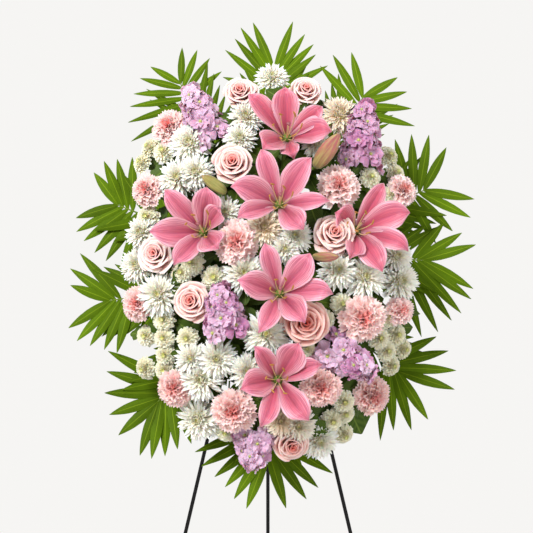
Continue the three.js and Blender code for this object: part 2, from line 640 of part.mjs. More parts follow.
const boxesMeet = (a, b) => [0, 1, 2].every((i) => a.min[i] < b.max[i] && b.min[i] < a.max[i]);

const easel = easelFront();
const rearLeg = easelRear();
const wireTie = tie();
const foamTray = tray().subtract(tie(0.5));
// Room round the easel and the foam that the flowers and leaves keep out of
const foamRoom = block(FOAM.wide + 8, -FOAM.front + 4, FOAM.tall + 8, 0, FOAM.front / 2 - 3, 0);
const easelRoom = block(900, 60, 2000, 0, 30 - WIRE - 2, 0);
const prongRoom = [-1, 1].map((side) => block(10, 110, 30, side * PRONG, -50, SHELF_BAR + 6));
const fixed = [foamRoom, easelRoom, ...prongRoom];

// Each head gives way to other nodes' stems and to the heads that come before it
nodes.forEach((node, index) => {
  const away = [];
  nodes.forEach((other, otherIndex) => {
    if (other === node) return;
    if (boxesMeet(node.heads.boundingBox(), other.stemRoom.boundingBox())) away.push(other.stemRoom);
    if (otherIndex < index && boxesMeet(node.heads.boundingBox(), other.heads.boundingBox())) {
      away.push(other.room);
    }
  });
  fixed.forEach((body) => {
    if (boxesMeet(node.heads.boundingBox(), body.boundingBox())) away.push(body);
  });
  const head = away.length ? node.heads.subtract(union(away)) : node.heads;
  node.body = mainPiece(head.add(node.stemBody));
});

// Each leaf gives way to all other nodes and to the leaves that come before it
nodes.forEach((node, index) => {
  if (!node.leaves.length) return;
  const away = [...fixed];
  nodes.forEach((other, otherIndex) => {
    if (other === node) return;
    away.push(other.stemRoom, other.room);
    if (otherIndex < index && other.leaves.length) away.push(...other.leafRoom);
  });
  const own = union(node.leaves);
  const meeting = away.filter((body) => boxesMeet(own.boundingBox(), body.boundingBox()));
  node.body = mainPiece(node.body.add(own.subtract(union(meeting))));
});

const foamBody = nodes.reduce((body, node) => body.subtract(node.stemRoom), foamBlock()
  .subtract(tie(0.5)));

// The floor cuts the legs' feet flat
const group = new THREE.Group();
group.rotation.x = -LEAN;
group.position.z = SPRAY_HEIGHT;
group.updateMatrixWorld(true);
const floor = new THREE.BoxGeometry(4000, 4000, 2000).translate(0, 0, -1000);
const floorBody = solid(floor.applyMatrix4(group.matrixWorld.clone().invert()));

function addMesh(name, finish, body, anchor = vec()) {
  const [color, roughness, metalness] = COLOURS[finish];
  const geometry = geometryOf(body);
  geometry.translate(-anchor.x, -anchor.y, -anchor.z);
  const material = new THREE.MeshStandardMaterial({ color, roughness, metalness });
  const mesh = new THREE.Mesh(geometry, material);
  mesh.name = name;
  mesh.position.copy(anchor);
  group.add(mesh);
}

addMesh('easel_front_frame', 'wire', easel.subtract(floorBody));
addMesh('easel_rear_leg', 'wire', rearLeg.subtract(floorBody));
addMesh('wire_tie', 'tie', wireTie);
addMesh('foam_tray', 'tray', foamTray);
addMesh('foam_brick', 'foam', mainPiece(foamBody));
nodes.forEach((node) => addMesh(node.name, node.finish, node.body, node.stems[0][0]));

// The middle of the whole object's box comes over the origin
const object = new THREE.Group();
object.add(group);
object.updateMatrixWorld(true);
const box = new THREE.Box3().setFromObject(object, true);
group.position.x -= (box.min.x + box.max.x) / 2;
group.position.y -= (box.min.y + box.max.y) / 2;

export default object;
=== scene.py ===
# The look of a standing funeral flower spray, built round its CAD frame.
# Metres, +Z up, seen from -Y. The flowers are placed in the easel's leaning plane, in millimetres.
import json
import math
import random
import bmesh
import bpy
import numpy as np
from mathutils import Matrix, Vector

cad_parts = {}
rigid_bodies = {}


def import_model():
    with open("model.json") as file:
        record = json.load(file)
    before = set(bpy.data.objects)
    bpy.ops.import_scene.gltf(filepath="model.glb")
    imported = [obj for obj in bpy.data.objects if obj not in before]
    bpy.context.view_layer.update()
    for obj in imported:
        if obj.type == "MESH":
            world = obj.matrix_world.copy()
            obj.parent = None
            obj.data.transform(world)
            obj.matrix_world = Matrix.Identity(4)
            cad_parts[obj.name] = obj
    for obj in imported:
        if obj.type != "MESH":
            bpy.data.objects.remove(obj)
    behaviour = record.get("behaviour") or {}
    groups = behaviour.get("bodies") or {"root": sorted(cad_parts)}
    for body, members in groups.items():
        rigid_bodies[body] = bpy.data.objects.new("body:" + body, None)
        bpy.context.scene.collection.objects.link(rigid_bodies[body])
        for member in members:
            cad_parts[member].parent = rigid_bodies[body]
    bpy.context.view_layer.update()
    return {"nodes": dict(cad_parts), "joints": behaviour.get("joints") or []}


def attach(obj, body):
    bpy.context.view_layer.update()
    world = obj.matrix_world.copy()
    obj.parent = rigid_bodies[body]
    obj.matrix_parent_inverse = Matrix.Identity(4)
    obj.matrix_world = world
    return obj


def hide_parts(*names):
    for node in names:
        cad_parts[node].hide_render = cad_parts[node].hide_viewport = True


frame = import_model()

# Easel, front frame: quarter inch steel rod bent over at the top into two legs, with three cross
# bars and a shelf of two turned-up prongs welded on, powder coated black. It carries everything.
MM = 0.001
LEAN = math.radians(10.5)
HINGE_BAR = 20
SPRAY = (
    Matrix.Translation(frame["joints"][0]["pos_m"])
    @ Matrix.Rotation(-LEAN, 4, "X")
    @ Matrix.Translation((0, 0, -HINGE_BAR * MM))
)
ROD = 3.12
APEX = 153
LEG_SLOPE = 0.23
STOP_BAR = 66
LOW_BAR = -640
SHELF = -121.85
PRONG = 40
PRONG_REACH = -97
FOOT = -1260
FORWARD, UP = Vector((0, -1, 0)), Vector((0, 0, 1))


def colour(code):
    """A linear colour from a hex code."""
    parts = [int(code[i:i + 2], 16) / 255 for i in (1, 3, 5)]
    return tuple(c / 12.92 if c < 0.04 else ((c + 0.055) / 1.055) ** 2.4 for c in parts) + (1,)


def add(tree, kind, inputs=None, **settings):
    """A node in the tree, its inputs given by name or number as values, nodes or sockets."""
    node = tree.nodes.new(kind)
    for name, value in settings.items():
        setattr(node, name, value)
    for name, value in (inputs or {}).items():
        if isinstance(name, int):
            socket = node.inputs[name]
        else:
            socket = next(s for s in node.inputs if s.enabled and s.name == name)
        if isinstance(value, bpy.types.Node):
            value = next(s for s in value.outputs if s.enabled)
        if isinstance(value, bpy.types.NodeSocket):
            tree.links.new(value, socket)
        else:
            socket.default_value = value
    return node


def maths(tree, operation, a, b=0.0):
    return add(tree, "ShaderNodeMath", {0: a, 1: b}, operation=operation)


def times(tree, a, b):
    return maths(tree, "MULTIPLY", a, b)


def plus(tree, a, b):
    return maths(tree, "ADD", a, b)


def ranged(tree, value, low, high, start=0.0, end=1.0):
    """A value carried over from one range to another."""
    return add(tree, "ShaderNodeMapRange", {
        "Value": value, "From Min": low, "From Max": high, "To Min": start, "To Max": end})


def mixed(tree, factor, a, b):
    """The mix of two colours, each a hex code, a node or a socket."""
    a, b = (colour(c) if isinstance(c, str) else c for c in (a, b))
    return add(tree, "ShaderNodeMix", {"Factor": factor, "A": a, "B": b},
               data_type="RGBA").outputs[2]


def new_finish(name, roughness, code=None, **sockets):
    """A material, its node tree and its shader, plain where a hex code is given."""
    material = bpy.data.materials.new(name)
    material.use_nodes = True
    shader = material.node_tree.nodes["Principled BSDF"]
    shader.inputs["Roughness"].default_value = roughness
    if code:
        shader.inputs["Base Color"].default_value = colour(code)
    for socket, value in sockets.items():
        shader.inputs[socket.replace("_", " ")].default_value = value
    return material, material.node_tree, shader


def bump(tree, shader, height, strength, distance):
    node = add(tree, "ShaderNodeBump",
               {"Height": height, "Strength": strength, "Distance": distance})
    tree.links.new(node.outputs[0], shader.inputs["Normal"])


def noise(tree, scale, detail=3.0):
    place = add(tree, "ShaderNodeTexCoord").outputs["Object"]
    return add(tree, "ShaderNodeTexNoise", {"Vector": place, "Scale": scale, "Detail": detail})


def named(tree, name, kind):
    """A geometry attribute read by name."""
    return add(tree, "GeometryNodeInputNamedAttribute", {"Name": name}, data_type=kind)


def new_tree(name, inputs):
    """An empty node tree with a Geometry input, the named inputs and a Geometry output."""
    tree = bpy.data.node_groups.new(name, "GeometryNodeTree")
    sockets = {"Geometry": "Geometry", **inputs}
    for label, kind in sockets.items():
        tree.interface.new_socket(label, in_out="INPUT", socket_type="NodeSocket" + kind)
    tree.interface.new_socket("Geometry", in_out="OUTPUT", socket_type="NodeSocketGeometry")
    start = tree.nodes.new("NodeGroupInput")
    return tree, {s.name: s for s in start.outputs if s.name}


def joined(tree, *shapes):
    """Several geometries in one."""
    node = add(tree, "GeometryNodeJoinGeometry")
    for shape in shapes:
        tree.links.new(next(s for s in shape.outputs if s.type == "GEOMETRY"), node.inputs[0])
    return node


def assembly_tree():
    """Round rods along a plan's edges, and pieces set on its marked points."""
    tree, given = new_tree("rods and the pieces on them", {
        "Pieces": "Collection", "Sides": "Int", "Rod finish": "Material"})
    split = add(tree, "GeometryNodeSeparateGeometry", {
        "Geometry": given["Geometry"], "Selection": named(tree, "is_piece", "BOOLEAN")},
        domain="POINT")
    stock_of = add(tree, "GeometryNodeCollectionInfo", {
        "Collection": given["Pieces"], "Separate Children": True, "Reset Children": True})
    turn = add(tree, "FunctionNodeEulerToRotation", {
        "Euler": named(tree, "turn", "FLOAT_VECTOR")})
    placed = add(tree, "GeometryNodeInstanceOnPoints", {
        "Points": split.outputs[0], "Instance": stock_of, "Pick Instance": True,
        "Instance Index": named(tree, "kind", "INT"), "Rotation": turn,
        "Scale": named(tree, "size", "FLOAT_VECTOR")})
    line = add(tree, "GeometryNodeMeshToCurve", {"Mesh": split.outputs[1]})
    round_section = add(tree, "GeometryNodeCurvePrimitiveCircle", {
        "Resolution": given["Sides"], "Radius": 1.0}, mode="RADIUS")
    rod = add(tree, "GeometryNodeCurveToMesh", {
        "Curve": line, "Profile Curve": round_section, "Scale": named(tree, "thick", "FLOAT"),
        "Fill Caps": True})
    marked = add(tree, "GeometryNodeStoreNamedAttribute", {
        "Geometry": rod, "Name": "is_rod", "Value": True}, data_type="BOOLEAN", domain="POINT")
    whole = add(tree, "GeometryNodeRealizeInstances", {"Geometry": joined(tree, placed, marked)})
    coated = add(tree, "GeometryNodeSetMaterial", {
        "Geometry": whole, "Selection": named(tree, "is_rod", "BOOLEAN"),
        "Material": given["Rod finish"]})
    add(tree, "NodeGroupOutput", {"Geometry": coated})
    return tree


ASSEMBLY = assembly_tree()


def plan_of(rods, pieces):
    """A plan for the assembly tree: rods as (points, radius or radii, closed), and pieces as
    (frame, size, kind, tone), in the spray's millimetres."""
    points, edges, thick = [], [], []
    for path, radius, closed in rods:
        first = len(points)
        points += [Vector(p) for p in path]
        edges += [(i, i + 1) for i in range(first, len(points) - 1)]
        if closed:
            edges.append((len(points) - 1, first))
        thick += list(radius) if isinstance(radius, (list, tuple)) else [radius] * len(path)
    rod_points = len(points)
    points += [place.to_translation() for place, _, _, _ in pieces]
    plan = bpy.data.meshes.new("plan")
    plan.from_pydata([p * MM for p in points], edges, [])

    def store(name, kind, field, values):
        plan.attributes.new(name, kind, "POINT").data.foreach_set(field, values)

    store("thick", "FLOAT", "value", [r * MM for r in thick] + [0.0] * len(pieces))
    store("is_piece", "BOOLEAN", "value", [False] * rod_points + [True] * len(pieces))
    store("kind", "INT", "value", [0] * rod_points + [kind for _, _, kind, _ in pieces])
    store("tone", "FLOAT", "value", [0.0] * rod_points + [tone for _, _, _, tone in pieces])
    store("turn", "FLOAT_VECTOR", "vector", [0.0] * rod_points * 3
          + [n for place, _, _, _ in pieces for n in place.to_euler("XYZ")])
    store("size", "FLOAT_VECTOR", "vector", [0.0] * rod_points * 3
          + [float(n) for _, size, _, _ in pieces for n in np.ones(3) * size * MM])
    return plan


def new_object(name, data):
    """An object in the scene."""
    made = bpy.data.objects.new(name, data)
    bpy.context.scene.collection.objects.link(made)
    return made


def grown(name, plan, tree, inputs):
    """The mesh that a tree makes of a plan, once its inputs are set."""
    maker = new_object(name, plan)
    step = maker.modifiers.new(name, "NODES")
    step.node_group = tree
    for item in tree.interface.items_tree:
        if item.in_out == "INPUT" and item.name in inputs:
            step[item.identifier] = inputs[item.name]
    graph = bpy.context.evaluated_depsgraph_get()
    made = bpy.data.meshes.new_from_object(
        maker.evaluated_get(graph), preserve_all_data_layers=True, depsgraph=graph)
    bpy.data.objects.remove(maker)
    bpy.data.meshes.remove(plan)
    made.name = name
    for index in reversed(range(len(made.materials))):
        if made.materials[index] is None:
            made.materials.pop(index=index)
    return made


STORES = []


def store_of(name, shapes):
    """A collection of shapes that a tree sets out, taken in this order."""
    collection = bpy.data.collections.new(name)
    STORES.append(collection)
    bpy.context.scene.collection.children.link(collection)
    for index, shape in enumerate(shapes):
        collection.objects.link(bpy.data.objects.new(f"{name}_{index:02d}", shape))
    return collection


def build(name, rods, shapes, store, sides, finish, body, slot, *nodes):
    """A piece of rods with shapes set on them, turned into the leaning plane, on its body and in
    place of its CAD nodes."""
    mesh = grown(name, plan_of(rods, shapes), ASSEMBLY, {
        "Pieces": store, "Sides": sides, "Rod finish": finish})
    mesh.transform(SPRAY)
    piece = new_object(name, mesh)
    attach(piece, body)
    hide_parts(*nodes)
    return piece


def part(points, faces, finish, petal, rim=()):
    """Raw points and faces with their finish, each point's place on its petal, and sharp rims."""
    return (np.array(points, float).reshape(-1, 3), faces, finish,
            np.array(petal, float).reshape(-1, 3), set(rim))


def mesh_of(name, parts):
    """One mesh from several parts."""
    mesh = bpy.data.meshes.new(name)
    points, faces, petal, materials, chosen, rims, first = [], [], [], [], [], set(), 0
    for at, corners, finish, place, rim in parts:
        points.append(at)
        petal.append(place)
        faces += [tuple(i + first for i in face) for face in corners]
        if finish not in materials:
            materials.append(finish)
        chosen += [materials.index(finish)] * len(corners)
        rims |= {i + first for i in rim}
        first += len(at)
    mesh.from_pydata(np.concatenate(points).tolist(), [], faces)
    for finish in materials:
        mesh.materials.append(finish)
    mesh.polygons.foreach_set("material_index", chosen)
    mesh.polygons.foreach_set("use_smooth", [True] * len(faces))
    mesh.edges.foreach_set("use_edge_sharp", [
        e.vertices[0] in rims and e.vertices[1] in rims for e in mesh.edges])
    mesh.attributes.new("petal", "FLOAT_VECTOR", "POINT").data.foreach_set(
        "vector", np.concatenate(petal).ravel())
    return mesh


def ring(count):
    """Even angles round a circle."""
    return [2 * math.pi * k / count for k in range(count)]


def turned(path, radii, sides, finish, flat=1.0, ridges=0, ridge=0.0):
    """A closed round shape along a path, its radius given at each point."""
    path = [Vector(p) for p in path]
    points, petal = [], []
    side = None
    for i, (at, radius) in enumerate(zip(path, radii)):
        way = (path[min(i + 1, len(path) - 1)] - path[max(i - 1, 0)]).normalized()
        side = side or way.orthogonal().normalized()
        side = (side - way * side.dot(way)).normalized()
        other = way.cross(side)
        for k, angle in enumerate(ring(sides)):
            swell = radius * (1 + ridge * math.cos(ridges * angle))
            points.append(at + side * math.cos(angle) * swell
                          + other * math.sin(angle) * swell * flat)
            petal.append((2 * k / sides - 1, i / (len(path) - 1), 1))
    faces = [(i * sides + k, i * sides + (k + 1) % sides,
              (i + 1) * sides + (k + 1) % sides, (i + 1) * sides + k)
             for i in range(len(path) - 1) for k in range(sides)]
    last = (len(path) - 1) * sides
    faces += [tuple(range(sides - 1, -1, -1)), tuple(range(last, last + sides))]
    return part(points, faces, finish, petal)


def bulb(rings, sides, finish, **form):
    """A closed round shape about Z, from pairs of height and radius."""
    return turned([(0, 0, height) for height, _ in rings], [radius for _, radius in rings],
                  sides, finish, **form)


black_coat, coat_tree, coat_shader = new_finish(
    "black powder coat", 0.5, "#09090a", Specular_IOR_Level=0.25)
bump(coat_tree, coat_shader, noise(coat_tree, 900.0), 0.12, 0.0004)

bead = mesh_of("weld bead", [bulb([
    (z, math.sqrt(max(0.02, 1 - z * z))) for z in (-1, -0.8, -0.3, 0.3, 0.8, 1)], 10, black_coat)])
weld_store = store_of("weld_beads", [bead])


def leg_at(side, height):
    return Vector((side * LEG_SLOPE * (APEX - height), 0, height))


def bend(corner, before, after, steps=6):
    """Points round a corner, from a point before it to one after it."""
    corner, before, after = Vector(corner), Vector(before), Vector(after)
    return [before.lerp(corner, k / steps).lerp(corner.lerp(after, k / steps), k / steps)
            for k in range(steps + 1)]


bend_foot = [leg_at(side, APEX - 30) for side in (-1, 1)]
outline_path = [leg_at(-1, FOOT)] + bend((0, 0, APEX + 18), *bend_foot, 14) + [leg_at(1, FOOT)]
front_rods = [(outline_path, ROD, False)]
BAR_BEAD = ROD * 1.32
PRONG_BEAD = ROD * 1.3
BEAD_SHIFT = 0.985
welds = []
for height in (STOP_BAR, HINGE_BAR, LOW_BAR, SHELF):
    front_rods.append(([leg_at(-1, height), leg_at(1, height)], ROD, False))
    for side in (-1, 1):
        at = leg_at(side, height)
        welds.append((Matrix.Translation((at.x * BEAD_SHIFT, 0, height)), BAR_BEAD, 0, 0))
for side in (-1, 1):
    x = side * PRONG
    corner = (x, PRONG_REACH, SHELF)
    front_rods.append((
        [(x, 0, SHELF)] + bend(corner, (x, PRONG_REACH + 7, SHELF), (x, PRONG_REACH, SHELF + 7))
        + [(x, PRONG_REACH, SHELF + 16)], ROD, False))
    welds.append((Matrix.Translation((x, 0, SHELF)), PRONG_BEAD, 0, 0))


def stand_on_floor(mesh):
    """Cuts a mesh off at the floor, closed and flat."""
    work = bmesh.new()
    work.from_mesh(mesh)
    cut = bmesh.ops.bisect_plane(
        work, geom=work.verts[:] + work.edges[:] + work.faces[:],
        plane_co=(0, 0, 0), plane_no=(0, 0, -1), clear_outer=True)
    rim = [e for e in cut["geom_cut"] if isinstance(e, bmesh.types.BMEdge)]
    bmesh.ops.holes_fill(work, edges=rim, sides=0)
    work.to_mesh(mesh)
    work.free()


ROD_SIDES = 16
stand_on_floor(build("easel_front", front_rods, welds, weld_store, ROD_SIDES, black_coat,
                     "stand", "easel_wire", "easel_front_frame").data)

# Easel, rear leg: one rod of the same steel with an eye bent round the hinge bar. Its short upper
# end bears on the stop bar and holds the leg open, and it folds forward between the front legs.
LEG_SPREAD = math.radians(23.585)
HINGE_CLEARANCE = 0.45
EYE = ROD * 2 + HINGE_CLEARANCE
back_down = Vector((0, math.sin(LEG_SPREAD), -math.cos(LEG_SPREAD)))
back_top = Vector((0, EYE, HINGE_BAR))
REAR_LENGTH = 1400
REAR_BEAD = ROD * 1.25
eye_ring = [(0, EYE * math.cos(a), HINGE_BAR + EYE * math.sin(a)) for a in ring(28)]
rear_rods = [
    (eye_ring, ROD, True),
    ([(0, EYE, HINGE_BAR - 3), (0, EYE, STOP_BAR + 13)], ROD, False),
    ([back_top - back_down * 3, back_top + back_down * REAR_LENGTH], ROD, False),
]
stand_on_floor(build("easel_rear", rear_rods, [(Matrix.Translation(back_top), REAR_BEAD, 0, 0)],
                     weld_store, ROD_SIDES, black_coat, "rear_leg", "easel_wire",
                     "easel_rear_leg").data)

# Foam tray: moulded dark green plastic with a back plate, low lips and two straps over the foam.
# It stands on the prongs and its two ribs bear on the legs. The CAD shape is shown as it is.
tray_plastic, tray_tree, tray_shader = new_finish("green tray plastic", 0.5, "#1f3d26")
bump(tray_tree, tray_shader, noise(tray_tree, 350.0), 0.1, 0.0005)


def dress(node, finish):
    """Gives a CAD node its material."""
    frame["nodes"][node].data.materials.clear()
    frame["nodes"][node].data.materials.append(finish)


dress("foam_tray", tray_plastic)

# Wet foam: one dark green brick of crumbly phenolic foam in the tray, soaked with water. Every
# stem is pushed into it. The CAD shape is shown as it is, with a fine open grain.
wet_foam, foam_tree, foam_shader = new_finish("wet foam", 0.95)
grain = noise(foam_tree, 420.0, 6.0)
foam_tree.links.new(mixed(foam_tree, grain, "#16301b", "#35603a"),
                    foam_shader.inputs["Base Color"])
bump(foam_tree, foam_shader, grain, 0.8, 0.0015)
dress("foam_brick", wet_foam)

# Wire tie: green painted binding wire, looped once round the left leg and through the tray's
# back, its two ends twisted together beside the leg.
TIE_RADIUS = 9.6
TIE_WIRE = 0.9
TIE_HEIGHT = 100
TIE_MIDDLE = -5.1
TWIST_RADIUS = 0.75
TWIST_TURN, TWIST_DROP, TWIST_DRIFT = 0.9, 0.62, 0.08
tie_green = new_finish("green painted wire", 0.4, "#2c5a36", Metallic=0.2)[0]
tie_x = -LEG_SLOPE * (APEX - TIE_HEIGHT)
loop = [(tie_x + TIE_RADIUS * math.cos(a), TIE_MIDDLE + TIE_RADIUS * math.sin(a), TIE_HEIGHT)
        for a in ring(32)]
twist = [([(tie_x - 8.2 - k * TWIST_DRIFT + TWIST_RADIUS * math.sin(k * TWIST_TURN + strand),
            TIE_MIDDLE + 4.6 + TWIST_RADIUS * math.cos(k * TWIST_TURN + strand),
            TIE_HEIGHT - k * TWIST_DROP) for k in range(26)], TIE_WIRE * 0.75, False)
         for strand in (0, math.pi)]
build("binding_wire", [(loop, TIE_WIRE, True)] + twist, [], weld_store, 10, tie_green,
      "stand", "tie_wire", "wire_tie")

# Lilies: six broad satin pink tepals round an olive throat, six stamens with tan anthers and one
# pistil, cut from live stems. Each opens on its own stem in the foam, three of them beside a bud.
LILIES = [
    dict(at=(32, 182), tips=((-66, 63), (-5, 73), (58, 44), (71, -3), (11, -51), (-41, -35)),
         bud=((76, 122), (0.55, -0.5, 0.67), 70), tone=0.95),
    dict(at=(19, 63), tips=((-31, 85), (51, 68), (82, -2), (38, -51), (-70, -32), (-79, 19)),
         tone=0.45, gap=(60, 78)),
    dict(at=(-108, 19), tips=((-60, 65), (9, 66), (34, 34), (30, -36), (-44, -62), (-82, -6)),
         bud=((-68, 78), (-0.75, -0.5, 0.45), 50), tone=0.5),
    dict(at=(147, 25), tips=((41, 74), (82, 22), (80, -41), (36, -76), (-18, -56), (-40, 20)),
         shift=(4, 13), tone=0.9),
    dict(at=(19, -85), tips=((-25, 79), (47, 60), (86, -5), (39, -52), (-36, -69), (-68, 16)),
         bud=((72, -26), (0.9, -0.4, -0.1), 44), tone=0.4),
    dict(at=(16, -223), tips=((-40, 55), (33, 58), (73, 25), (49, -64), (-30, -76), (-60, -16)),
         tone=0.7),
]
THROAT = 56
DOME_WIDE, DOME_TALL, DOME_DEEP, DOME_BASE = 250, 335, 150, -85
FOAM_WIDE, FOAM_TALL, FOAM_FRONT = 112, 232, -85
FOAM_SIDE_ENTRY, FOAM_SIDE_ROOM = -48, 28
STEM_SINK = 24
STRAP, STRAP_ROOM = 62, 9


def dome_place(x, z, lift):
    """A head's place on the domed front of the spray."""
    inside = max(0.0, 1 - (x / DOME_WIDE) ** 2 - (z / DOME_TALL) ** 2)
    return Vector((x, DOME_BASE - DOME_DEEP * math.sqrt(inside) - lift, z))


def facing(place, spread):
    """The way a head looks: forward, turned outward over the dome by its spread."""
    out = Vector((place.x / DOME_WIDE ** 2, (place.y - DOME_BASE) / DOME_DEEP ** 2,
                  place.z / DOME_TALL ** 2)).normalized()
    return (out * spread + FORWARD * (1 - spread)).normalized()


def head_frame(place, face, spin=0.0):
    """A flower head's place, with Z the way it looks."""
    side = UP.cross(face).normalized()
    turn = Matrix((side, face.cross(side), face)).transposed().to_4x4()
    return Matrix.Translation(place) @ turn @ Matrix.Rotation(spin, 4, "Z")


def foam_entry(place, shift=(0, 0)):
    """Where a stem goes into the foam, clear of the tray's straps."""
    def clear(z):
        off = abs(z) - STRAP
        if abs(off) >= STRAP_ROOM:
            return z
        return math.copysign(STRAP + (-STRAP_ROOM if off < 0 else STRAP_ROOM), z)

    if place.y > FOAM_FRONT - FOAM_SIDE_ROOM:
        y = FOAM_SIDE_ENTRY + (place.y - FOAM_FRONT) * 0.3
        if abs(place.x) / 180 > abs(place.z) / 300:
            return Vector((math.copysign(FOAM_WIDE / 2, place.x), y,
                           clear(place.z * 0.31 + shift[1])))
        return Vector((place.x * 0.2 + shift[0], y, math.copysign(FOAM_TALL / 2, place.z)))
    return Vector((place.x * 0.21 + shift[0], FOAM_FRONT, clear(place.z * 0.32 + shift[1])))


def stem_rod(start, entry, radius):
    """A stem from its head into the foam."""
    along = (entry - start).normalized()
    return ([start, start.lerp(entry, 0.5), entry + along * STEM_SINK], radius, False)


def sheet(rows, columns, thick, shape, finish):
    """A thin closed petal or leaf: its face over s, root to tip, and t, edge to edge."""
    s, t = np.meshgrid(np.linspace(0, 1, rows + 1), np.linspace(-1, 1, columns + 1), indexing="ij")
    top = np.stack(np.broadcast_arrays(*shape(s, t)), axis=-1).astype(float)
    normal = np.cross(np.gradient(top, axis=0), np.gradient(top, axis=1))
    normal /= np.maximum(np.linalg.norm(normal, axis=-1, keepdims=True), 1e-9)
    under = top - normal * thick
    count = top.shape[0] * top.shape[1]
    upper = np.arange(count).reshape(s.shape)
    lower = upper.copy()
    inner = (rows - 1, columns - 1)
    lower[1:-1, 1:-1] = count + np.arange(inner[0] * inner[1]).reshape(inner)

    def quads(grid):
        return np.stack([grid[:-1, :-1], grid[1:, :-1], grid[1:, 1:], grid[:-1, 1:]],
                        axis=-1).reshape(-1, 4)

    faces = quads(upper).tolist() + quads(lower)[:, ::-1].tolist()
    upper_place = np.stack([t, s, np.ones_like(s)], axis=-1).reshape(-1, 3)
    lower_place = np.stack([t, s, np.zeros_like(s)], axis=-1)[1:-1, 1:-1].reshape(-1, 3)
    rim = set(upper.ravel().tolist()) - set(upper[1:-1, 1:-1].ravel().tolist())
    return part(np.concatenate([top.reshape(-1, 3), under[1:-1, 1:-1].reshape(-1, 3)]), faces,
                finish, np.concatenate([upper_place, lower_place]), rim)


def smooth_through(shares, values):
    """A smooth curve through a few values."""
    return np.poly1d(np.polyfit(shares, values, len(shares) - 1))


PAIRED = ("radius", "height", "tilt", "size")


def whorl_tree():
    """Petals set round a middle in a steady turn, from the outermost to the innermost."""
    numbers = ["Turn", "Ease", "Scatter"]
    numbers += [end + what for what in PAIRED for end in ("Outer ", "Inner ")]
    tree, given = new_tree("petals round a middle", {
        "Petals": "Collection", "Core": "Object", "Finish": "Material", "Repaint": "Bool",
        "Count": "Int", "Kinds": "Int", "Seed": "Int", **dict.fromkeys(numbers, "Float")})
    index = add(tree, "GeometryNodeInputIndex")
    last = maths(tree, "MAXIMUM", maths(tree, "SUBTRACT", given["Count"], 1), 1)
    share = maths(tree, "DIVIDE", index, last)
    eased = maths(tree, "POWER", share, given["Ease"])

    def between(name):
        return ranged(tree, eased, 0, 1, given["Outer " + name], given["Inner " + name])

    def chance(salt, amount=1.0):
        value = add(tree, "FunctionNodeRandomValue", {
            "Min": -1.0, "Max": 1.0, "Seed": plus(tree, given["Seed"], salt)}, data_type="FLOAT")
        return times(tree, times(tree, value, given["Scatter"]), amount)

    angle = plus(tree, times(tree, index, given["Turn"]), chance(1))
    radius = between("radius")
    place = add(tree, "ShaderNodeCombineXYZ", {
        "X": times(tree, maths(tree, "COSINE", angle), radius),
        "Y": times(tree, maths(tree, "SINE", angle), radius),
        "Z": between("height")})
    points = add(tree, "GeometryNodePoints", {"Count": given["Count"], "Position": place})
    shared = add(tree, "GeometryNodeStoreNamedAttribute", {
        "Geometry": points, "Name": "share", "Value": share}, data_type="FLOAT", domain="POINT")
    lean = plus(tree, times(tree, between("tilt"), -1), chance(2, 0.8))
    euler = add(tree, "ShaderNodeCombineXYZ", {"X": chance(3), "Y": lean, "Z": angle})
    below_one = maths(tree, "MINIMUM", share, 0.999)
    kinds = maths(tree, "FLOOR", times(tree, below_one, given["Kinds"]))
    size = times(tree, between("size"), plus(tree, 1, chance(4, 0.4)))
    petals = add(tree, "GeometryNodeCollectionInfo", {
        "Collection": given["Petals"], "Separate Children": True, "Reset Children": True})
    placed = add(tree, "GeometryNodeInstanceOnPoints", {
        "Points": shared, "Instance": petals, "Pick Instance": True, "Instance Index": kinds,
        "Rotation": add(tree, "FunctionNodeEulerToRotation", {"Euler": euler}), "Scale": size})
    core = add(tree, "GeometryNodeObjectInfo", {"Object": given["Core"]})
    whole = add(tree, "GeometryNodeRealizeInstances", {"Geometry": placed})
    dressed = add(tree, "GeometryNodeSetMaterial", {
        "Geometry": whole, "Selection": given["Repaint"], "Material": given["Finish"]})
    add(tree, "NodeGroupOutput", {"Geometry": joined(tree, core, dressed)})
    return tree


WHORL = whorl_tree()
GOLDEN_TURN = math.radians(137.5)


def bloom(name, petals, core, finish, count, seed, scatter, radius, height, tilt,
          size=(1.0, 1.0), turn=GOLDEN_TURN, ease=1.0):
    """A flower of petals round a core. Each pair is for its outermost and innermost petals."""
    store = store_of(name + "_petals", petals)
    middle = new_object(name + "_core", core)
    inputs = {"Petals": store, "Core": middle, "Kinds": len(petals), "Count": count,
              "Seed": seed, "Scatter": scatter, "Turn": turn, "Ease": ease,
              "Repaint": finish is not None}
    if finish:
        inputs["Finish"] = finish
    for what, pair in zip(PAIRED, (radius, height, tilt, size)):
        inputs["Outer " + what], inputs["Inner " + what] = pair
    made = grown(name, bpy.data.meshes.new("start"), WHORL, inputs)
    bpy.data.objects.remove(middle)
    return made


def attribute(tree, name, output="Fac"):
    return add(tree, "ShaderNodeAttribute", attribute_name=name).outputs[output]


def petal_place(tree):
    """The place on a petal: across, from -1 to 1, along, from its root, and which face."""
    return add(tree, "ShaderNodeSeparateXYZ", {0: attribute(tree, "petal", "Vector")}).outputs


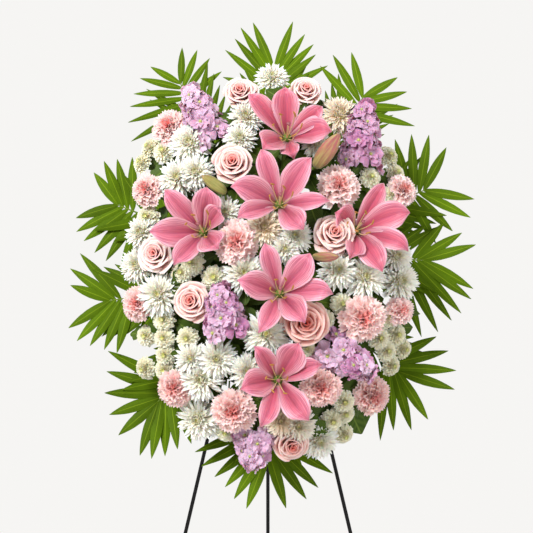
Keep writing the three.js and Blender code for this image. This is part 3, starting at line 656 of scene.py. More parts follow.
def petal_finish(name, stops, roughness, heart=None, heart_from=0.6, second=None,
                 second_heart=None, pale_margin_and_highlight=None, rib=None, vein=0.0, vein_count=7.0,
                 vein_colour=None, mottle=0.06, sheen=0.15):
    """A petal material: colours from root to tip, a heart colour for the innermost petals, a
    second colour by the bloom's own tone, and fine veins that run along the petal."""
    material, tree, shader = new_finish(name, roughness, Sheen_Weight=sheen,
                                        Sheen_Roughness=0.6, Specular_IOR_Level=0.3,
                                        Subsurface_Weight=0.25, Subsurface_Scale=0.004)
    across, along, _ = petal_place(tree)

    def ramp(colours):
        node = add(tree, "ShaderNodeValToRGB", {0: along})
        elements = node.color_ramp.elements
        elements[0].position, elements[0].color = colours[0][0], colour(colours[0][1])
        elements[1].position, elements[1].color = colours[-1][0], colour(colours[-1][1])
        for position, code in colours[1:-1]:
            elements.new(position).color = colour(code)
        return node.outputs[0]

    paint = ramp(stops)
    spread = maths(tree, "ABSOLUTE", across)
    if second:
        paint = mixed(tree, attribute(tree, "tone"), paint, ramp(second))
    # Painted highlight: the colour turns to a pale tint towards each edge, partly the petal's own
    # pale margin and partly a highlight painted in.
    if pale_margin_and_highlight:
        paint = mixed(tree, ranged(tree, spread, 0.35, 1.0, end=0.7), paint, pale_margin_and_highlight)
    if heart:
        middle = heart
        if second_heart:
            middle = mixed(tree, attribute(tree, "tone"), heart, second_heart)
        inner = ranged(tree, attribute(tree, "share"), heart_from, 1.0)
        paint = mixed(tree, inner, paint, middle)
    speckle = maths(tree, "SUBTRACT", noise(tree, 160.0), 0.5)
    lit = plus(tree, times(tree, speckle, mottle * 4), 1.0)
    paint = add(tree, "ShaderNodeHueSaturation", {"Value": lit, "Color": paint}).outputs[0]
    if vein:
        stretched = add(tree, "ShaderNodeCombineXYZ", {
            "X": times(tree, across, vein_count), "Y": times(tree, along, 1.3)})
        lines = add(tree, "ShaderNodeTexNoise", {"Vector": stretched, "Scale": 1.6, "Detail": 2.0})
        sharp = ranged(tree, lines, 0.42, 0.68)
        if vein_colour:
            paint = mixed(tree, times(tree, sharp, vein), paint, vein_colour)
        bump(tree, shader, sharp, 0.35, 0.0006)
    if rib:
        paint = mixed(tree, ranged(tree, spread, 0.02, 0.14, 0.5, 0.0), paint, rib)
    tree.links.new(paint, shader.inputs["Base Color"])
    return material


# The lily tepals' pale edge colour is partly their own pale margin and partly a painted highlight
# along the edges.
lily_petal = petal_finish(
    "pink lily tepal", [(0.0, "#857c3a"), (0.1, "#9c8446"), (0.18, "#9f4462"), (0.34, "#c2667e"),
                        (0.62, "#d7849b"), (1.0, "#de95aa")], 0.36,
    second=[(0.0, "#857c3a"), (0.1, "#9c7446"), (0.18, "#99344c"), (0.34, "#b8495f"),
            (0.62, "#c95c71"), (1.0, "#d27082")],
    pale_margin_and_highlight="#f6cbd6", rib="#a03a5a", vein=0.85, vein_count=11.0, vein_colour="#a84264",
    mottle=0.02)
anther_tan = new_finish("anther rust", 0.9, "#b07a3a")[0]
filament_pale = new_finish("pale filament", 0.5, "#d9c48c")[0]
stigma_rose = new_finish("stigma", 0.45, "#8d4a50")[0]
bud_skin = petal_finish("lily bud", [(0.0, "#75783a"), (0.25, "#8b6a44"), (0.55, "#a5605a"),
                                     (1.0, "#8c4450")], 0.5,
                        second=[(0.0, "#8a9444"), (0.5, "#85853e"), (0.85, "#8f7844"),
                                (1.0, "#965c4c")],
                        vein=0.85, vein_count=5.0, vein_colour="#b0a060")


def plant_green(name, light, dark, roughness=0.5, scale=60.0):
    """A stem or leaf green, blotched between two tones."""
    material, tree, shader = new_finish(name, roughness, Specular_IOR_Level=0.35)
    tree.links.new(mixed(tree, noise(tree, scale), dark, light), shader.inputs["Base Color"])
    return material


stem_green = plant_green("stem green", "#728a38", "#43591c")


def leaf_finish(name, light, dark, vein_code, roughness=0.45, feather=0.0, lines=9.0,
                gloss=0.15):
    """A leaf material: a pale midrib, fine veins and a duller underside."""
    material, tree, shader = new_finish(name, roughness, Specular_IOR_Level=gloss)
    across, along, face = petal_place(tree)
    spread = maths(tree, "ABSOLUTE", across)
    slant = plus(tree, times(tree, spread, 1 - feather), times(tree, along, -6 * feather))
    wave = maths(tree, "SINE", times(tree, slant, lines * 2 * math.pi))
    body = mixed(tree, noise(tree, 22.0), dark, light)
    lined = times(tree, plus(tree, wave, 1), 0.14)
    veined = mixed(tree, lined, body, vein_code)
    rib = times(tree, maths(tree, "LESS_THAN", spread, 0.07), 0.6)
    tone = times(tree, attribute(tree, "tone"), 0.4)
    toned = add(tree, "ShaderNodeHueSaturation", {
        "Value": plus(tree, tone, 0.8), "Color": mixed(tree, rib, veined, vein_code)})
    below = times(tree, maths(tree, "SUBTRACT", 1, face), 0.3)
    tree.links.new(mixed(tree, below, toned, "#6f8a3c"), shader.inputs["Base Color"])
    bump(tree, shader, wave, 0.25, 0.0004)
    return material


garden_leaf = leaf_finish("garden leaf", "#48611a", "#22380c", "#6f8534", feather=0.55, lines=7)


def folded_leaf(half, rows, fold, arch, lobes=0.0):
    """A leaf blade of length 1 that folds a little along its midrib and arches over."""
    def shape(s, t):
        width = half * np.interp(s, [0, 0.08, 0.3, 0.55, 0.8, 0.95, 1],
                                 [0.05, 0.3, 0.85, 1, 0.68, 0.26, 0.02])
        width = width * (1 - lobes * 0.5 * (1 + np.cos(s * 2 * math.pi * 3.5)) * np.abs(t) ** 2)
        return s, t * width, fold * np.abs(t) * width - arch * s * s
    return mesh_of("leaf", [sheet(rows, 4, 0.012, shape, garden_leaf)])


LEAVES = [folded_leaf(0.3, 6, 0.25, 0.16), folded_leaf(0.34, 14, 0.2, 0.1, 0.34),
          folded_leaf(0.16, 6, 0.2, 0.2)]
chance = random.Random(11)


def leaf_frame(at, way, up):
    """A leaf's place, its length along its way and its face turned up."""
    side = up.cross(way).normalized()
    return Matrix.Translation(at) @ Matrix((way, side, way.cross(side))).transposed().to_4x4()


LOWEST_LEAF = 0.4
BACK_LIMIT = -12


def stem_leaves(start, entry, face, kinds, count, length, first, high=0.92):
    """Leaves that leave a stem in turn and lie behind its flower, facing as it does."""
    made = []
    side = face.orthogonal().normalized()
    for i in range(count):
        share = (i + chance.random()) / count
        at = entry.lerp(start, LOWEST_LEAF + (high - LOWEST_LEAF) * share)
        turn = Matrix.Rotation(i * 2.4 + chance.uniform(-0.5, 0.5) + start.x, 3, face)
        way = (turn @ side + face * chance.uniform(-0.2, 0.4)).normalized()
        up = (face + Vector([chance.uniform(-0.4, 0.4) for _ in range(3)])).normalized()
        size = length * chance.uniform(0.8, 1.2)
        if at.y + way.y * size > BACK_LIMIT:
            way = Vector((way.x, min(way.y, -0.1), way.z)).normalized()
        made.append((leaf_frame(at, way, up), size, first + chance.choice(kinds),
                     chance.random()))
    return made


MAIN_LEAF = 58
MAIN_LEAF_SHARE = 0.66


def main_leaf(start, entry, turn, first):
    """The large leaf low on a stem, as in the CAD solids."""
    along = (start - entry).normalized()
    way = UP.cross(along).normalized()
    way = (Matrix.Rotation(turn, 3, along) @ way + along * 0.35).normalized()
    return leaf_frame(entry.lerp(start, MAIN_LEAF_SHARE), way, along), MAIN_LEAF, first, 0.6


GAP_DEPTH = 70
GAP_OVERLAP = 1.5


def gap_leaf(start, entry, face, gap, first):
    """A leaf from a stem across a gap between the flowers, given by its middle."""
    at = entry.lerp(start, 0.6)
    way = dome_place(*gap, -GAP_DEPTH) - at
    return leaf_frame(at, way.normalized(), face), way.length * GAP_OVERLAP, first, 0.5


TEPAL_STEPS = [0, 0.1, 0.25, 0.4, 0.53, 0.66, 0.78, 0.88, 0.95, 1]
TEPAL_WIDTHS = [0.2, 0.3, 0.56, 0.85, 1, 0.95, 0.76, 0.46, 0.18, 0.01]


def tepal(index, tip, face, side, rise):
    """One tepal out to its tip as the front view shows it, from the throat of the bloom."""
    inner = index % 2
    curl = -14 + 6 * inner
    dx, dz = tip[0] - curl * face.x, tip[1] - curl * face.z
    det = side.x * rise.z - side.z * rise.x
    a = (dx * rise.z - dz * rise.x) / det
    b = (dz * side.x - dx * side.z) / det
    reach = math.hypot(a, b)
    out = np.array((a / reach, b / reach, 0))
    across = np.array((-out[1], out[0], 0))
    wide = (24 if inner else 17.5) + 1.5 * math.sin(tip[1])
    shares = (0, 0.3, 0.6, 0.82, 1)
    run = smooth_through(shares, (2, 0.22 * reach, 0.56 * reach, 0.82 * reach, reach))
    lift = smooth_through(
        shares, (-THROAT, -0.47 * THROAT, -0.07 * THROAT, 0.03 * THROAT, curl))
    phase = index * 1.7 + tip[0]

    def shape(s, t):
        shoulder = s + 0.05 * math.sin(2.3 * phase) * np.sin(math.pi * s)
        half = wide * np.interp(shoulder, TEPAL_STEPS, TEPAL_WIDTHS)
        slope_r, slope_z = run.deriv()(s), lift.deriv()(s)
        length = np.hypot(slope_r, slope_z)
        lift_r, lift_z = -slope_z / length, slope_r / length
        cup = half * 0.36 * (np.abs(t) ** 1.6 - 1) * np.interp(s, [0, 0.6, 1], [1.6, 1, 0.3])
        groove = -2.2 * np.exp(-(t / 0.12) ** 2) * np.sin(math.pi * s) ** 0.7
        wave = 3.6 * np.abs(t) ** 3 * np.sin(s * 12 + phase + t * 1.4) * s * (1.15 - s)
        roll = -0.16 * half * np.abs(t) ** 5
        twist = 0.26 * math.sin(1.9 * phase) * t * half * s
        offset = cup + groove + wave + roll + twist - (1 - inner) * 2
        aside = t * half + 30 * math.sin(phase) * s * s * (1 - s)
        r = run(s) + lift_r * offset
        z = lift(s) + lift_z * offset
        return out[0] * r + across[0] * aside, out[1] * r + across[1] * aside, z

    return sheet(24, 16, 0.9, shape, lily_petal)


def lily_core(tips, face, frame_matrix):
    """Six tepals out to their tips, with the pistil between them."""
    side, rise = frame_matrix.col[0].xyz, frame_matrix.col[1].xyz
    parts = [tepal(index, tip, face, side, rise) for index, tip in enumerate(tips)]
    style = [(0, -0.4 - 0.02 * k * k, -THROAT + 10 * k) for k in range(9)] + [(0, -3.2, 34)]
    stigma = [(30.4, 1.6), (32.9, 3.4), (34.9, 3.2), (35.4, 0.6)]
    parts.append(turned(style, [1.6] * 8 + [1.9, 2.0], 8, filament_pale))
    parts.append(turned([(0, -3.2, height) for height, _ in stigma],
                        [radius for _, radius in stigma], 9, stigma_rose, ridges=3, ridge=0.25))
    parts.append(bulb([(-THROAT - 9, 3.4), (-THROAT - 2, 4.4), (-THROAT + 12, 7.0)], 12,
                      stem_green))
    return mesh_of("lily_core", parts)


STAMEN = 70
stamen = mesh_of("stamen", [
    turned([(STAMEN * k / 7, 0, -5 * math.sin(math.pi * k / 7)) for k in range(8)],
           [0.75] * 7 + [0.5], 6, filament_pale),
    turned([(STAMEN + 5.2 * k, 3.4 * k, 0.5 * k * k) for k in (-1, -0.65, 0, 0.65, 1)],
           [0.4, 1.3, 1.6, 1.3, 0.4], 8, anther_tan, flat=0.8)])
LILY_LIFT, LILY_SPREAD, LILY_STEM = 52, 0.35, 3.2
BUD_LIFT, BUD_STALK, BUD_WIDTH = 26, 2.0, 0.185
bud_rings = [(0, 0.3), (0.08, 0.62), (0.25, 0.9), (0.45, 1), (0.68, 0.92), (0.86, 0.62),
             (0.96, 0.34), (1, 0.12)]
for number, flower in enumerate(LILIES, 1):
    place = dome_place(*flower["at"], LILY_LIFT)
    face = facing(place, LILY_SPREAD)
    stand_frame = head_frame(place, face)
    head = bloom(f"lily_head_{number}", [stamen], lily_core(flower["tips"], face, stand_frame),
                 None, 6, number, 0.1, radius=(1.0, 1.0), height=(-50.0, -50.0),
                 tilt=(1.34, 1.26), size=(1.0, 0.95), turn=math.radians(60))
    shapes = [head]
    collar = stand_frame @ Vector((0, 0, -THROAT - 4))
    entry = foam_entry(place, flower.get("shift", (0, 0)))
    rods = [stem_rod(collar, entry, LILY_STEM)]
    pieces = [(stand_frame, 1.0, 0, flower["tone"])]
    if "bud" in flower:
        at, way, length = flower["bud"]
        way = Vector(way).normalized()
        root = dome_place(*at, BUD_LIFT)
        skin = bulb([(length * share, length * BUD_WIDTH * reach) for share, reach in bud_rings],
                    30, bud_skin, ridges=3, ridge=0.17)
        shapes.append(mesh_of("lily_bud", [skin]))
        pieces.append((head_frame(root, way), 1.0, 1, float(number == 3)))
        rods.append(([root + way * 2, collar.lerp(entry, 0.55)], BUD_STALK, False))
    leaf_kind = len(shapes)
    pieces += stem_leaves(collar, entry, face, (2, 2, 0), 9, 62, leaf_kind, 0.98)
    if "gap" in flower:
        pieces.append(gap_leaf(collar, entry, face, flower["gap"], leaf_kind))
    store = store_of(f"lily_shapes_{number}", shapes + LEAVES)
    build(f"lily_{number}_flower", rods, pieces, store, 8, stem_green, "stand", "lily_petal",
          f"lily_{number}")

# Roses: pale pink garden roses, wide petals wrapped round a spiral heart and rolled back at the
# lip, over green sepals. Each is cut with one stem and a few leaves.
ROSES = [(-46, 262, 27, 0.3), (63, 266, 26, 0.25), (-57, 130, 31, 0.45), (-183, -14, 29, 0.15),
         (106, 14, 32, 0.4), (-123, -95, 30, 0.5), (59, -132, 35, 1.0), (39, -318, 28, 0.7)]
rose_petal = petal_finish(
    "pale rose petal", [(0.0, "#f6d6c8"), (0.5, "#f9d6cf"), (0.85, "#fbe0da"), (1.0, "#fdeae5")],
    0.5, heart="#ee948c", heart_from=0.45, second_heart="#d95040",
    second=[(0.0, "#ee9c80"), (0.5, "#ea8e80"), (0.85, "#f2aea3"), (1.0, "#f9d2c8")],
    vein=0.1, vein_count=9.0, vein_colour="#f3c0b6", mottle=0.02)
sepal_green = plant_green("sepal green", "#7f9c55", "#55753a")


def rose_layer(share):
    """One petal, the outermost at 0 and the innermost at 1, a shell with a flared lip."""
    lip = 1.04 - 0.94 * share ** 0.9
    wall = max(0.04, lip - 0.22 + 0.14 * share)
    rise = 0.56 + 0.56 * (1 - lip ** 1.6)
    half_angle = 0.8 + 1.2 * share * share

    def shape(s, t):
        spread = half_angle * np.interp(s, [0, 0.25, 0.6, 0.85, 1], [0.35, 0.8, 1, 0.94, 0.66])
        r = np.interp(s, [0, 0.2, 0.45, 0.7, 0.88, 1],
                      [0.1 * wall, 0.5 * wall, 0.88 * wall, wall, wall * 0.4 + lip * 0.6, lip])
        z = np.interp(s, [0, 0.2, 0.45, 0.7, 0.88, 1], [0, 0.1, 0.42, 0.8, 0.99, 0.97])
        r = r + 0.03 * np.abs(t) ** 3
        z = -0.62 + rise * z - 0.1 * np.abs(t) ** 3 * s
        angle = spread * t
        return r * np.cos(angle) - 0.1 * lip, r * np.sin(angle), z
    return mesh_of("rose_petal", [sheet(9, 10, 0.016, shape, rose_petal)])


ROSE_PETALS = 22
rose_layers = [rose_layer(i / (ROSE_PETALS - 1)) for i in range(ROSE_PETALS)]


def sepal(s, t):
    return (0.1 + s * 0.62, t * 0.12 * np.interp(s, [0, 0.3, 1], [0.7, 1, 0.04]),
            -0.66 + 0.12 * s - 0.3 * s * s)


def around(piece, turns):
    """The same part, turned about the middle once for each angle."""
    made = []
    for angle in turns:
        c, s = math.cos(angle), math.sin(angle)
        spin = np.array(((c, s, 0), (-s, c, 0), (0, 0, 1)))
        made.append((piece[0] @ spin,) + piece[1:])
    return made


rose_base = [bulb([(-0.85, 0.08), (-0.78, 0.17), (-0.66, 0.2), (-0.55, 0.14)], 10, sepal_green)]
rose_base += around(sheet(4, 2, 0.02, sepal, sepal_green), ring(5))
rose_core = mesh_of("rose_core", rose_base)
rose_heads = [bloom(f"rose_head_{seed}", rose_layers, rose_core, rose_petal, ROSE_PETALS, seed,
                    0.09, radius=(0.0, 0.0), height=(0.0, 0.0), tilt=(-0.05, 0.02))
              for seed in (1, 2, 3)]


def cut_flowers(kind, items, heads, lift, spread, stem_radius, spin, slot, leaf, swell):
    """Single heads, each on its own stem, one piece for each CAD node. Leaf gives the kinds of
    leaves, their number and their length, and swell how far a head outgrows its CAD solid."""
    store = store_of(kind + "_shapes", heads + LEAVES)
    for number, (x, z, radius, tone, *shift) in enumerate(items, 1):
        place = dome_place(x, z, lift)
        face = facing(place, spread)
        under = place - face * 0.2 * radius
        entry = foam_entry(place, *shift)
        turn = (number - 1) * spin
        pieces = [(head_frame(place, face, turn), radius * swell, (number - 1) % len(heads), tone)]
        pieces += stem_leaves(under, entry, face, *leaf, len(heads))
        if kind == "rose":
            pieces.append(main_leaf(under, entry, turn * 3 + 1, len(heads)))
        build(f"{kind}_{number}_flower", [stem_rod(under, entry, stem_radius)], pieces, store,
              7, stem_green, "stand", slot, f"{kind}_{number}")


cut_flowers("rose", ROSES, rose_heads, lift=22, spread=0.6, stem_radius=2.5, spin=1.1,
            slot="rose_petal", leaf=((0, 1), 7, 60), swell=1.26)

# Carnations: pale pink, over forty fringed and ruffled petals packed into a ball over a tubular
# green calyx, streaked coral red deep between them. Each is cut with one thin green stem.
CARNATIONS = [(-165, 211, 28, 0.4), (-200, 99, 26, 0.4), (115, 95, 32, 0.3),
              (224, 106, 24, 0.3, (0, -18)), (-50, -3, 33, 0.5), (-213, -89, 26, 0.6),
              (153, -119, 34, 0.6), (216, -99, 23, 0.4), (-150, -227, 28, 0.8, (0, -16)),
              (-56, -267, 32, 0.6), (84, -231, 30, 0.9), (171, -236, 29, 0.8, (0, 10))]
carnation_petal = petal_finish(
    "pale carnation petal", [(0.0, "#d5403e"), (0.35, "#ea8d89"), (0.62, "#f6c2bd"),
                             (0.85, "#fad8d3"), (1.0, "#ffeeea")], 0.62,
    second=[(0.0, "#c94445"), (0.35, "#e27f7c"), (0.65, "#efaaa5"), (0.85, "#f3bdb7"),
            (1.0, "#fad6d0")],
    heart="#ea857f", heart_from=0.78, vein=0.3, vein_count=5.0, vein_colour="#e67a76",
    sheen=0.3)


def ruffled(phase, waves, high):
    """A fan petal whose edge is cut into teeth and thrown into ruffles."""
    def shape(s, t):
        half = 0.42 * np.interp(s, [0, 0.2, 0.5, 0.8, 1], [0.12, 0.25, 0.6, 0.95, 1.05])
        teeth = 0.05 * np.where(np.round((t + 1) * 6).astype(int) % 2 == 0, 1, -1) * (s > 0.95)
        ruffle = high * s ** 2 * np.sin(waves * t * math.pi + phase + 0.8 * s)
        bow = 0.06 * np.sin(math.pi * s) - 0.1 * s * s
        x = s * (0.86 - 0.13 * t * t * s) + teeth
        return x, t * half, ruffle + bow
    return mesh_of("carnation_petal", [sheet(6, 12, 0.016, shape, carnation_petal)])


carnation_petals = [ruffled(*form) for form in (
    (0.0, 1.5, 0.09), (1.3, 2.0, 0.11), (2.1, 1.7, 0.12), (0.6, 2.2, 0.13))]
calyx_green = plant_green("calyx green", "#93a878", "#6d8a5c")
calyx = mesh_of("calyx", [bulb(
    [(-0.75, 0.08), (-0.7, 0.18), (-0.45, 0.22), (-0.15, 0.26), (-0.02, 0.2)], 10, calyx_green)])
carnation_heads = [bloom(f"carnation_head_{seed}", carnation_petals, calyx, carnation_petal, 46,
                         seed, 0.22, radius=(0.14, 0.02), height=(-0.14, -0.12),
                         tilt=(0.02, 1.5), size=(1.0, 0.76), ease=0.9) for seed in (4, 5, 6)]
cut_flowers("carnation", CARNATIONS, carnation_heads, lift=15, spread=0.55, stem_radius=2.0,
            spin=0.8, slot="carnation_petal", leaf=((2, 0), 7, 58), swell=1.16)

# Stock: lilac spikes of double florets, each a loose rosette of crinkled petals on a short stalk,
# with green buds at the tip. The florets sit close round the upper end of one stem.
STOCKS = [dict(at=(-108, 216), way=(-0.35, -0.35, 0.87), length=96, florets=16, tone=0.45),
          dict(at=(156, 184), way=(0.12, -0.3, 0.95), length=104, florets=16, tone=0.7),
          dict(at=(-70, -117), way=(-0.1, -0.5, 0.86), length=74, florets=16, tone=0.75),
          dict(at=(124, -182), way=(0.72, -0.45, -0.53), length=90, florets=16, tone=0.65,
               gap=(134, -238)),
          dict(at=(-23, -318), way=(-0.1, -0.4, -0.91), length=60, florets=14, tone=0.5)]
STOCK_LIFT, STOCK_SPREAD, STOCK_STEM = 10, 0.5, 2.6
FLORET_SIZE, FLORET_TURN, FLORET_SWELL = 18.5, 2.4, 1.42
STALK, BUDS = 1.1, 5
stock_petal = petal_finish(
    "lilac stock petal", [(0.0, "#dfd8a0"), (0.14, "#f8e8ee"), (0.4, "#ecc4d9"), (1.0, "#f6dcea")],
    0.6, second=[(0.0, "#c8bf80"), (0.14, "#dcaec6"), (0.4, "#ae6894"), (1.0, "#c98cb2")],
    vein=0.4, vein_count=6.0, vein_colour="#b5749f", sheen=0.2)


def crinkled(phase, long, wide):
    """A short broad petal with a wavy face."""
    def shape(s, t):
        half = wide * np.interp(s, [0, 0.25, 0.6, 0.85, 1], [0.15, 0.45, 0.95, 1, 0.55])
        wave = 0.1 * s * np.sin(4.2 * t + phase) + 0.06 * s * np.sin(7 * s + phase)
        return s * long * (1 - 0.12 * t * t * s), t * half, wave - 0.1 * s * s
    return mesh_of("stock_petal", [sheet(4, 5, 0.02, shape, stock_petal)])


eye_green = plant_green("floret eye", "#d2d584", "#98a44c", 0.6, 400.0)
floret_eye = mesh_of("floret_eye", [
    bulb([(-0.6, 0.1), (-0.3, 0.16), (-0.04, 0.1)], 7, sepal_green),
    bulb([(-0.05, 0.1), (0.1, 0.1), (0.16, 0.03)], 7, eye_green)])
florets = [bloom(f"stock_floret_{seed}", [
    crinkled(seed, 0.92, 0.5), crinkled(seed + 1, 0.8, 0.44), crinkled(seed + 2, 0.56, 0.32)],
    floret_eye, stock_petal, 12, seed, 0.38, radius=(0.08, 0.05), height=(-0.02, 0.0),
    tilt=(0.05, 0.9), size=(1.0, 0.8), ease=1.2) for seed in (7, 8, 9)]
green_bud = mesh_of("stock_bud", [bulb(
    [(-0.5, 0.2), (0, 0.5), (0.6, 0.42), (1, 0.1)], 7, sepal_green)])
stock_store = store_of("stock_shapes", florets + [green_bud] + LEAVES)
for number, spike in enumerate(STOCKS, 1):
    middle = dome_place(*spike["at"], STOCK_LIFT)
    along = Vector(spike["way"]).normalized()
    length = spike["length"]
    root, tip = middle - along * length / 2, middle + along * length / 2
    side = along.cross(FORWARD).normalized()
    other = side.cross(along)
    entry, face = foam_entry(middle), facing(middle, STOCK_SPREAD)
    rods = [stem_rod(root, entry, STOCK_STEM),
            ([root - along * 2, middle, tip], [4.5, 3.5, 2.0], False)]
    pieces = []
    for i in range(spike["florets"]):
        share = (i + 0.5) / spike["florets"]
        radius = FLORET_SIZE - 6 * share * share
        angle = i * FLORET_TURN
        way = (side * math.cos(angle) + other * math.sin(angle)
               + along * (0.25 + 0.5 * share)).normalized()
        at = root.lerp(tip, share) + way * (26 - 17 * share + radius * 0.3)
        pieces.append((head_frame(at, way, i), radius * FLORET_SWELL, i % 3,
                       spike["tone"] + chance.uniform(-0.4, 0.4)))
        fork = root.lerp(tip, max(0, share - 0.08))
        rods.append(([at - way * radius * 0.4, fork], STALK, False))
    for i in range(BUDS):
        angle = i * FLORET_TURN
        way = (along + side * math.cos(angle) * 0.5 + other * math.sin(angle) * 0.5).normalized()
        pieces.append((head_frame(tip + way * 3, way), 6.0 - i * 0.4, 3, 0.5))
    pieces += stem_leaves(root, entry, face, (2, 0), 6, 52, 4)
    if "gap" in spike:
        pieces.append(gap_leaf(root, entry, face, spike["gap"], 4))
    build(f"stock_{number}_spike", rods, pieces, stock_store, 7, stem_green, "stand",
          "stock_petal", f"stock_{number}")

# White mums: many narrow pointed petals in layers round a creamy green heart, several heads to a
# spray. The heads stand on branches of one stem, which carries lobed leaves.
MUM_SPRAYS = [
    [(7, 297, 23), (-36, 217, 24), (-46, 179, 22)],
    [(120, 229, 28, 0.8), (79, 171, 20)],
    [(-129, 176, 29), (-148, 115, 27), (-118, 122, 25)],
    [(-69, 49, 23), (-6, 24, 27, 1.0), (43, 10, 24), (27, -12, 21), (-38, -50, 29)],
    [(-209, 29, 23), (-215, -24, 25), (-177, -77, 30)],
    [(113, -43, 26), (156, -51, 30), (210, -10, 24), (217, -50, 28)],
    [(-3, -147, 31), (-34, -205, 24), (-82, -185, 27), (-124, -183, 23), (-108, -215, 30),
     (-114, -275, 30)],
    [(21, -281, 23, 1.0), (49, -288, 24, 0.4), (84, -308, 27)],
]
MUM_SHIFTS = {5: (0, 14), 8: (9, 0)}
mum_petal = petal_finish(
    "white mum petal", [(0.0, "#efe6ae"), (0.3, "#f8f1d8"), (0.7, "#fefaee"), (1.0, "#fffdf6")],
    0.55, heart="#f4eec0", heart_from=0.75,
    second=[(0.0, "#e2c493"), (0.25, "#f0d6b2"), (0.7, "#f7e2c8"), (1.0, "#f9e8d5")],
    second_heart="#ecd2a8", vein=0.12, vein_count=3.0, vein_colour="#eadfc4", mottle=0.02)


def slim_petal(long, half, cup, arch, finish, rows=4, tip=0.12):
    """A narrow petal, cupped along its length."""
    def shape(s, t):
        width = half * np.interp(s, [0, 0.3, 0.7, 0.9, 1], [0.4, 0.8, 1, 0.7 + tip * 0.3, tip])
        return s * long, t * width, cup * t * t * width + arch * s * s
    return mesh_of("slim_petal", [sheet(rows, 2, 0.02, shape, finish)])


mum_heart = plant_green("mum heart", "#f2ecb0", "#d3d17c", 0.7, 300.0)
mum_cup = mesh_of("mum_cup", [
    bulb([(-0.5, 0.07), (-0.4, 0.13), (-0.22, 0.26), (-0.08, 0.22)], 9, sepal_green),
    bulb([(-0.1, 0.28), (0.08, 0.27), (0.18, 0.19), (0.24, 0.06)], 10, mum_heart)])
mum_petals = [slim_petal(*form, mum_petal) for form in (
    (0.86, 0.084, 0.5, -0.05), (0.84, 0.082, 0.6, 0.04), (0.78, 0.078, 0.7, 0.12),
    (0.64, 0.072, 0.8, 0.18), (0.46, 0.066, 0.8, 0.2), (0.3, 0.058, 0.8, 0.18))]
mum_heads = [bloom(f"mum_head_{seed}", mum_petals, mum_cup, mum_petal, 184, seed, 0.18,
                   radius=(0.2, 0.06), height=(-0.16, 0.18), tilt=(-0.2, 0.95),
                   size=(1.06, 0.85)) for seed in (10, 11, 12)]


SPRAY_SPREAD, FORKS_OVER, BRANCH = 0.5, 0.75, 0.7


def sprays(kind, items, shifts, heads, lift, stem_radius, branch_share, slot, leaf, swell):
    """Sprays of heads on branches of one stem, one piece for each CAD node. As above, leaf gives
    the kinds, number and length of the leaves."""
    store = store_of(kind + "_shapes", heads + LEAVES)
    for number, blooms in enumerate(items, 1):
        places = [dome_place(x, z, lift) for x, z, *_ in blooms]
        middle = sum(places, Vector()) / len(places)
        entry = foam_entry(middle, shifts.get(number, (0, 0)))
        branch = entry.lerp(middle, branch_share)
        rods = [stem_rod(branch, entry, stem_radius)]
        pieces = []
        if kind == "mum_spray":
            pieces.append(main_leaf(places[0], branch, len(blooms) + places[0].x, len(heads) + 1))
        for index, (x, z, radius, *tone) in enumerate(blooms):
            face = facing(places[index], SPRAY_SPREAD)
            fork = branch.lerp(entry, index * (FORKS_OVER / len(blooms)))
            under = places[index] - face * 0.15 * radius
            rods.append(([under, fork], stem_radius * BRANCH, False))
            pieces.append((head_frame(places[index], face, index * 0.7), radius * swell,
                           (index + number) % len(heads), tone[0] if tone else 0.0))
            pieces += stem_leaves(under, fork, face, *leaf, len(heads))
        build(f"{kind}_{number}_heads", rods, pieces, store, 6, stem_green, "stand", slot,
              f"{kind}_{number}")


sprays("mum_spray", MUM_SPRAYS, MUM_SHIFTS, mum_heads, lift=5, stem_radius=2.4,
       branch_share=0.4, slot="mum_petal", leaf=((1, 0), 5, 56), swell=1.24)

# Button mums: small tight cream heads of short rounded petals with a yellow-green middle, several
# to a spray on thin branches of one stem.
BUTTON_SPRAYS = [
    [(-203, 195, 17), (-175, 171, 18), (-216, 167, 17)],
    [(-200, 56, 19), (-125, -28, 21), (-141, -44, 18), (-87, -55, 20)],
    [(-171, -117, 18), (-201, -139, 17), (-170, -146, 17), (-131, -150, 18), (-168, -173, 17),
     (-169, -196, 18), (-206, -187, 18), (-69, -296, 17)],
    [(120, -96, 18), (93, -121, 15), (63, -169, 13), (195, -110, 18), (182, -145, 18),
     (213, -135, 18), (196, -163, 17), (228, -152, 17), (206, -183, 17)],
    [(170, 122, 17), (204, 172, 18), (216, 142, 17), (207, 98, 15)],
    [(124, -248, 18), (105, -278, 18), (126, -266, 17), (127, -296, 17)],
]
BUTTON_SHIFTS = {2: (3, 4), 6: (10, 0)}
button_petal = petal_finish(
    "cream button petal", [(0.0, "#f4eab4"), (0.3, "#faf2cc"), (0.75, "#fef8dc"),
                           (1.0, "#fffbe6")],
    0.55, heart="#eeeca2", heart_from=0.8, mottle=0.02)
button_petals = [slim_petal(*form, button_petal, 3, 0.5) for form in (
    (0.46, 0.125, 0.8, 0.02), (0.46, 0.125, 0.9, 0.06), (0.4, 0.115, 0.9, 0.1),
    (0.3, 0.095, 0.9, 0.1))]
button_heads = [bloom(f"button_head_{seed}", button_petals, mum_cup, button_petal, 150, seed, 0.14,
                      radius=(0.44, 0.04), height=(-0.2, 0.2), tilt=(-0.35, 0.8),
                      size=(1.05, 0.8), ease=0.9) for seed in (13, 14)]
sprays("button_spray", BUTTON_SPRAYS, BUTTON_SHIFTS, button_heads, lift=-4, stem_radius=2.1,
       branch_share=0.5, slot="button_petal", leaf=((1, 0), 3, 48), swell=1.28)

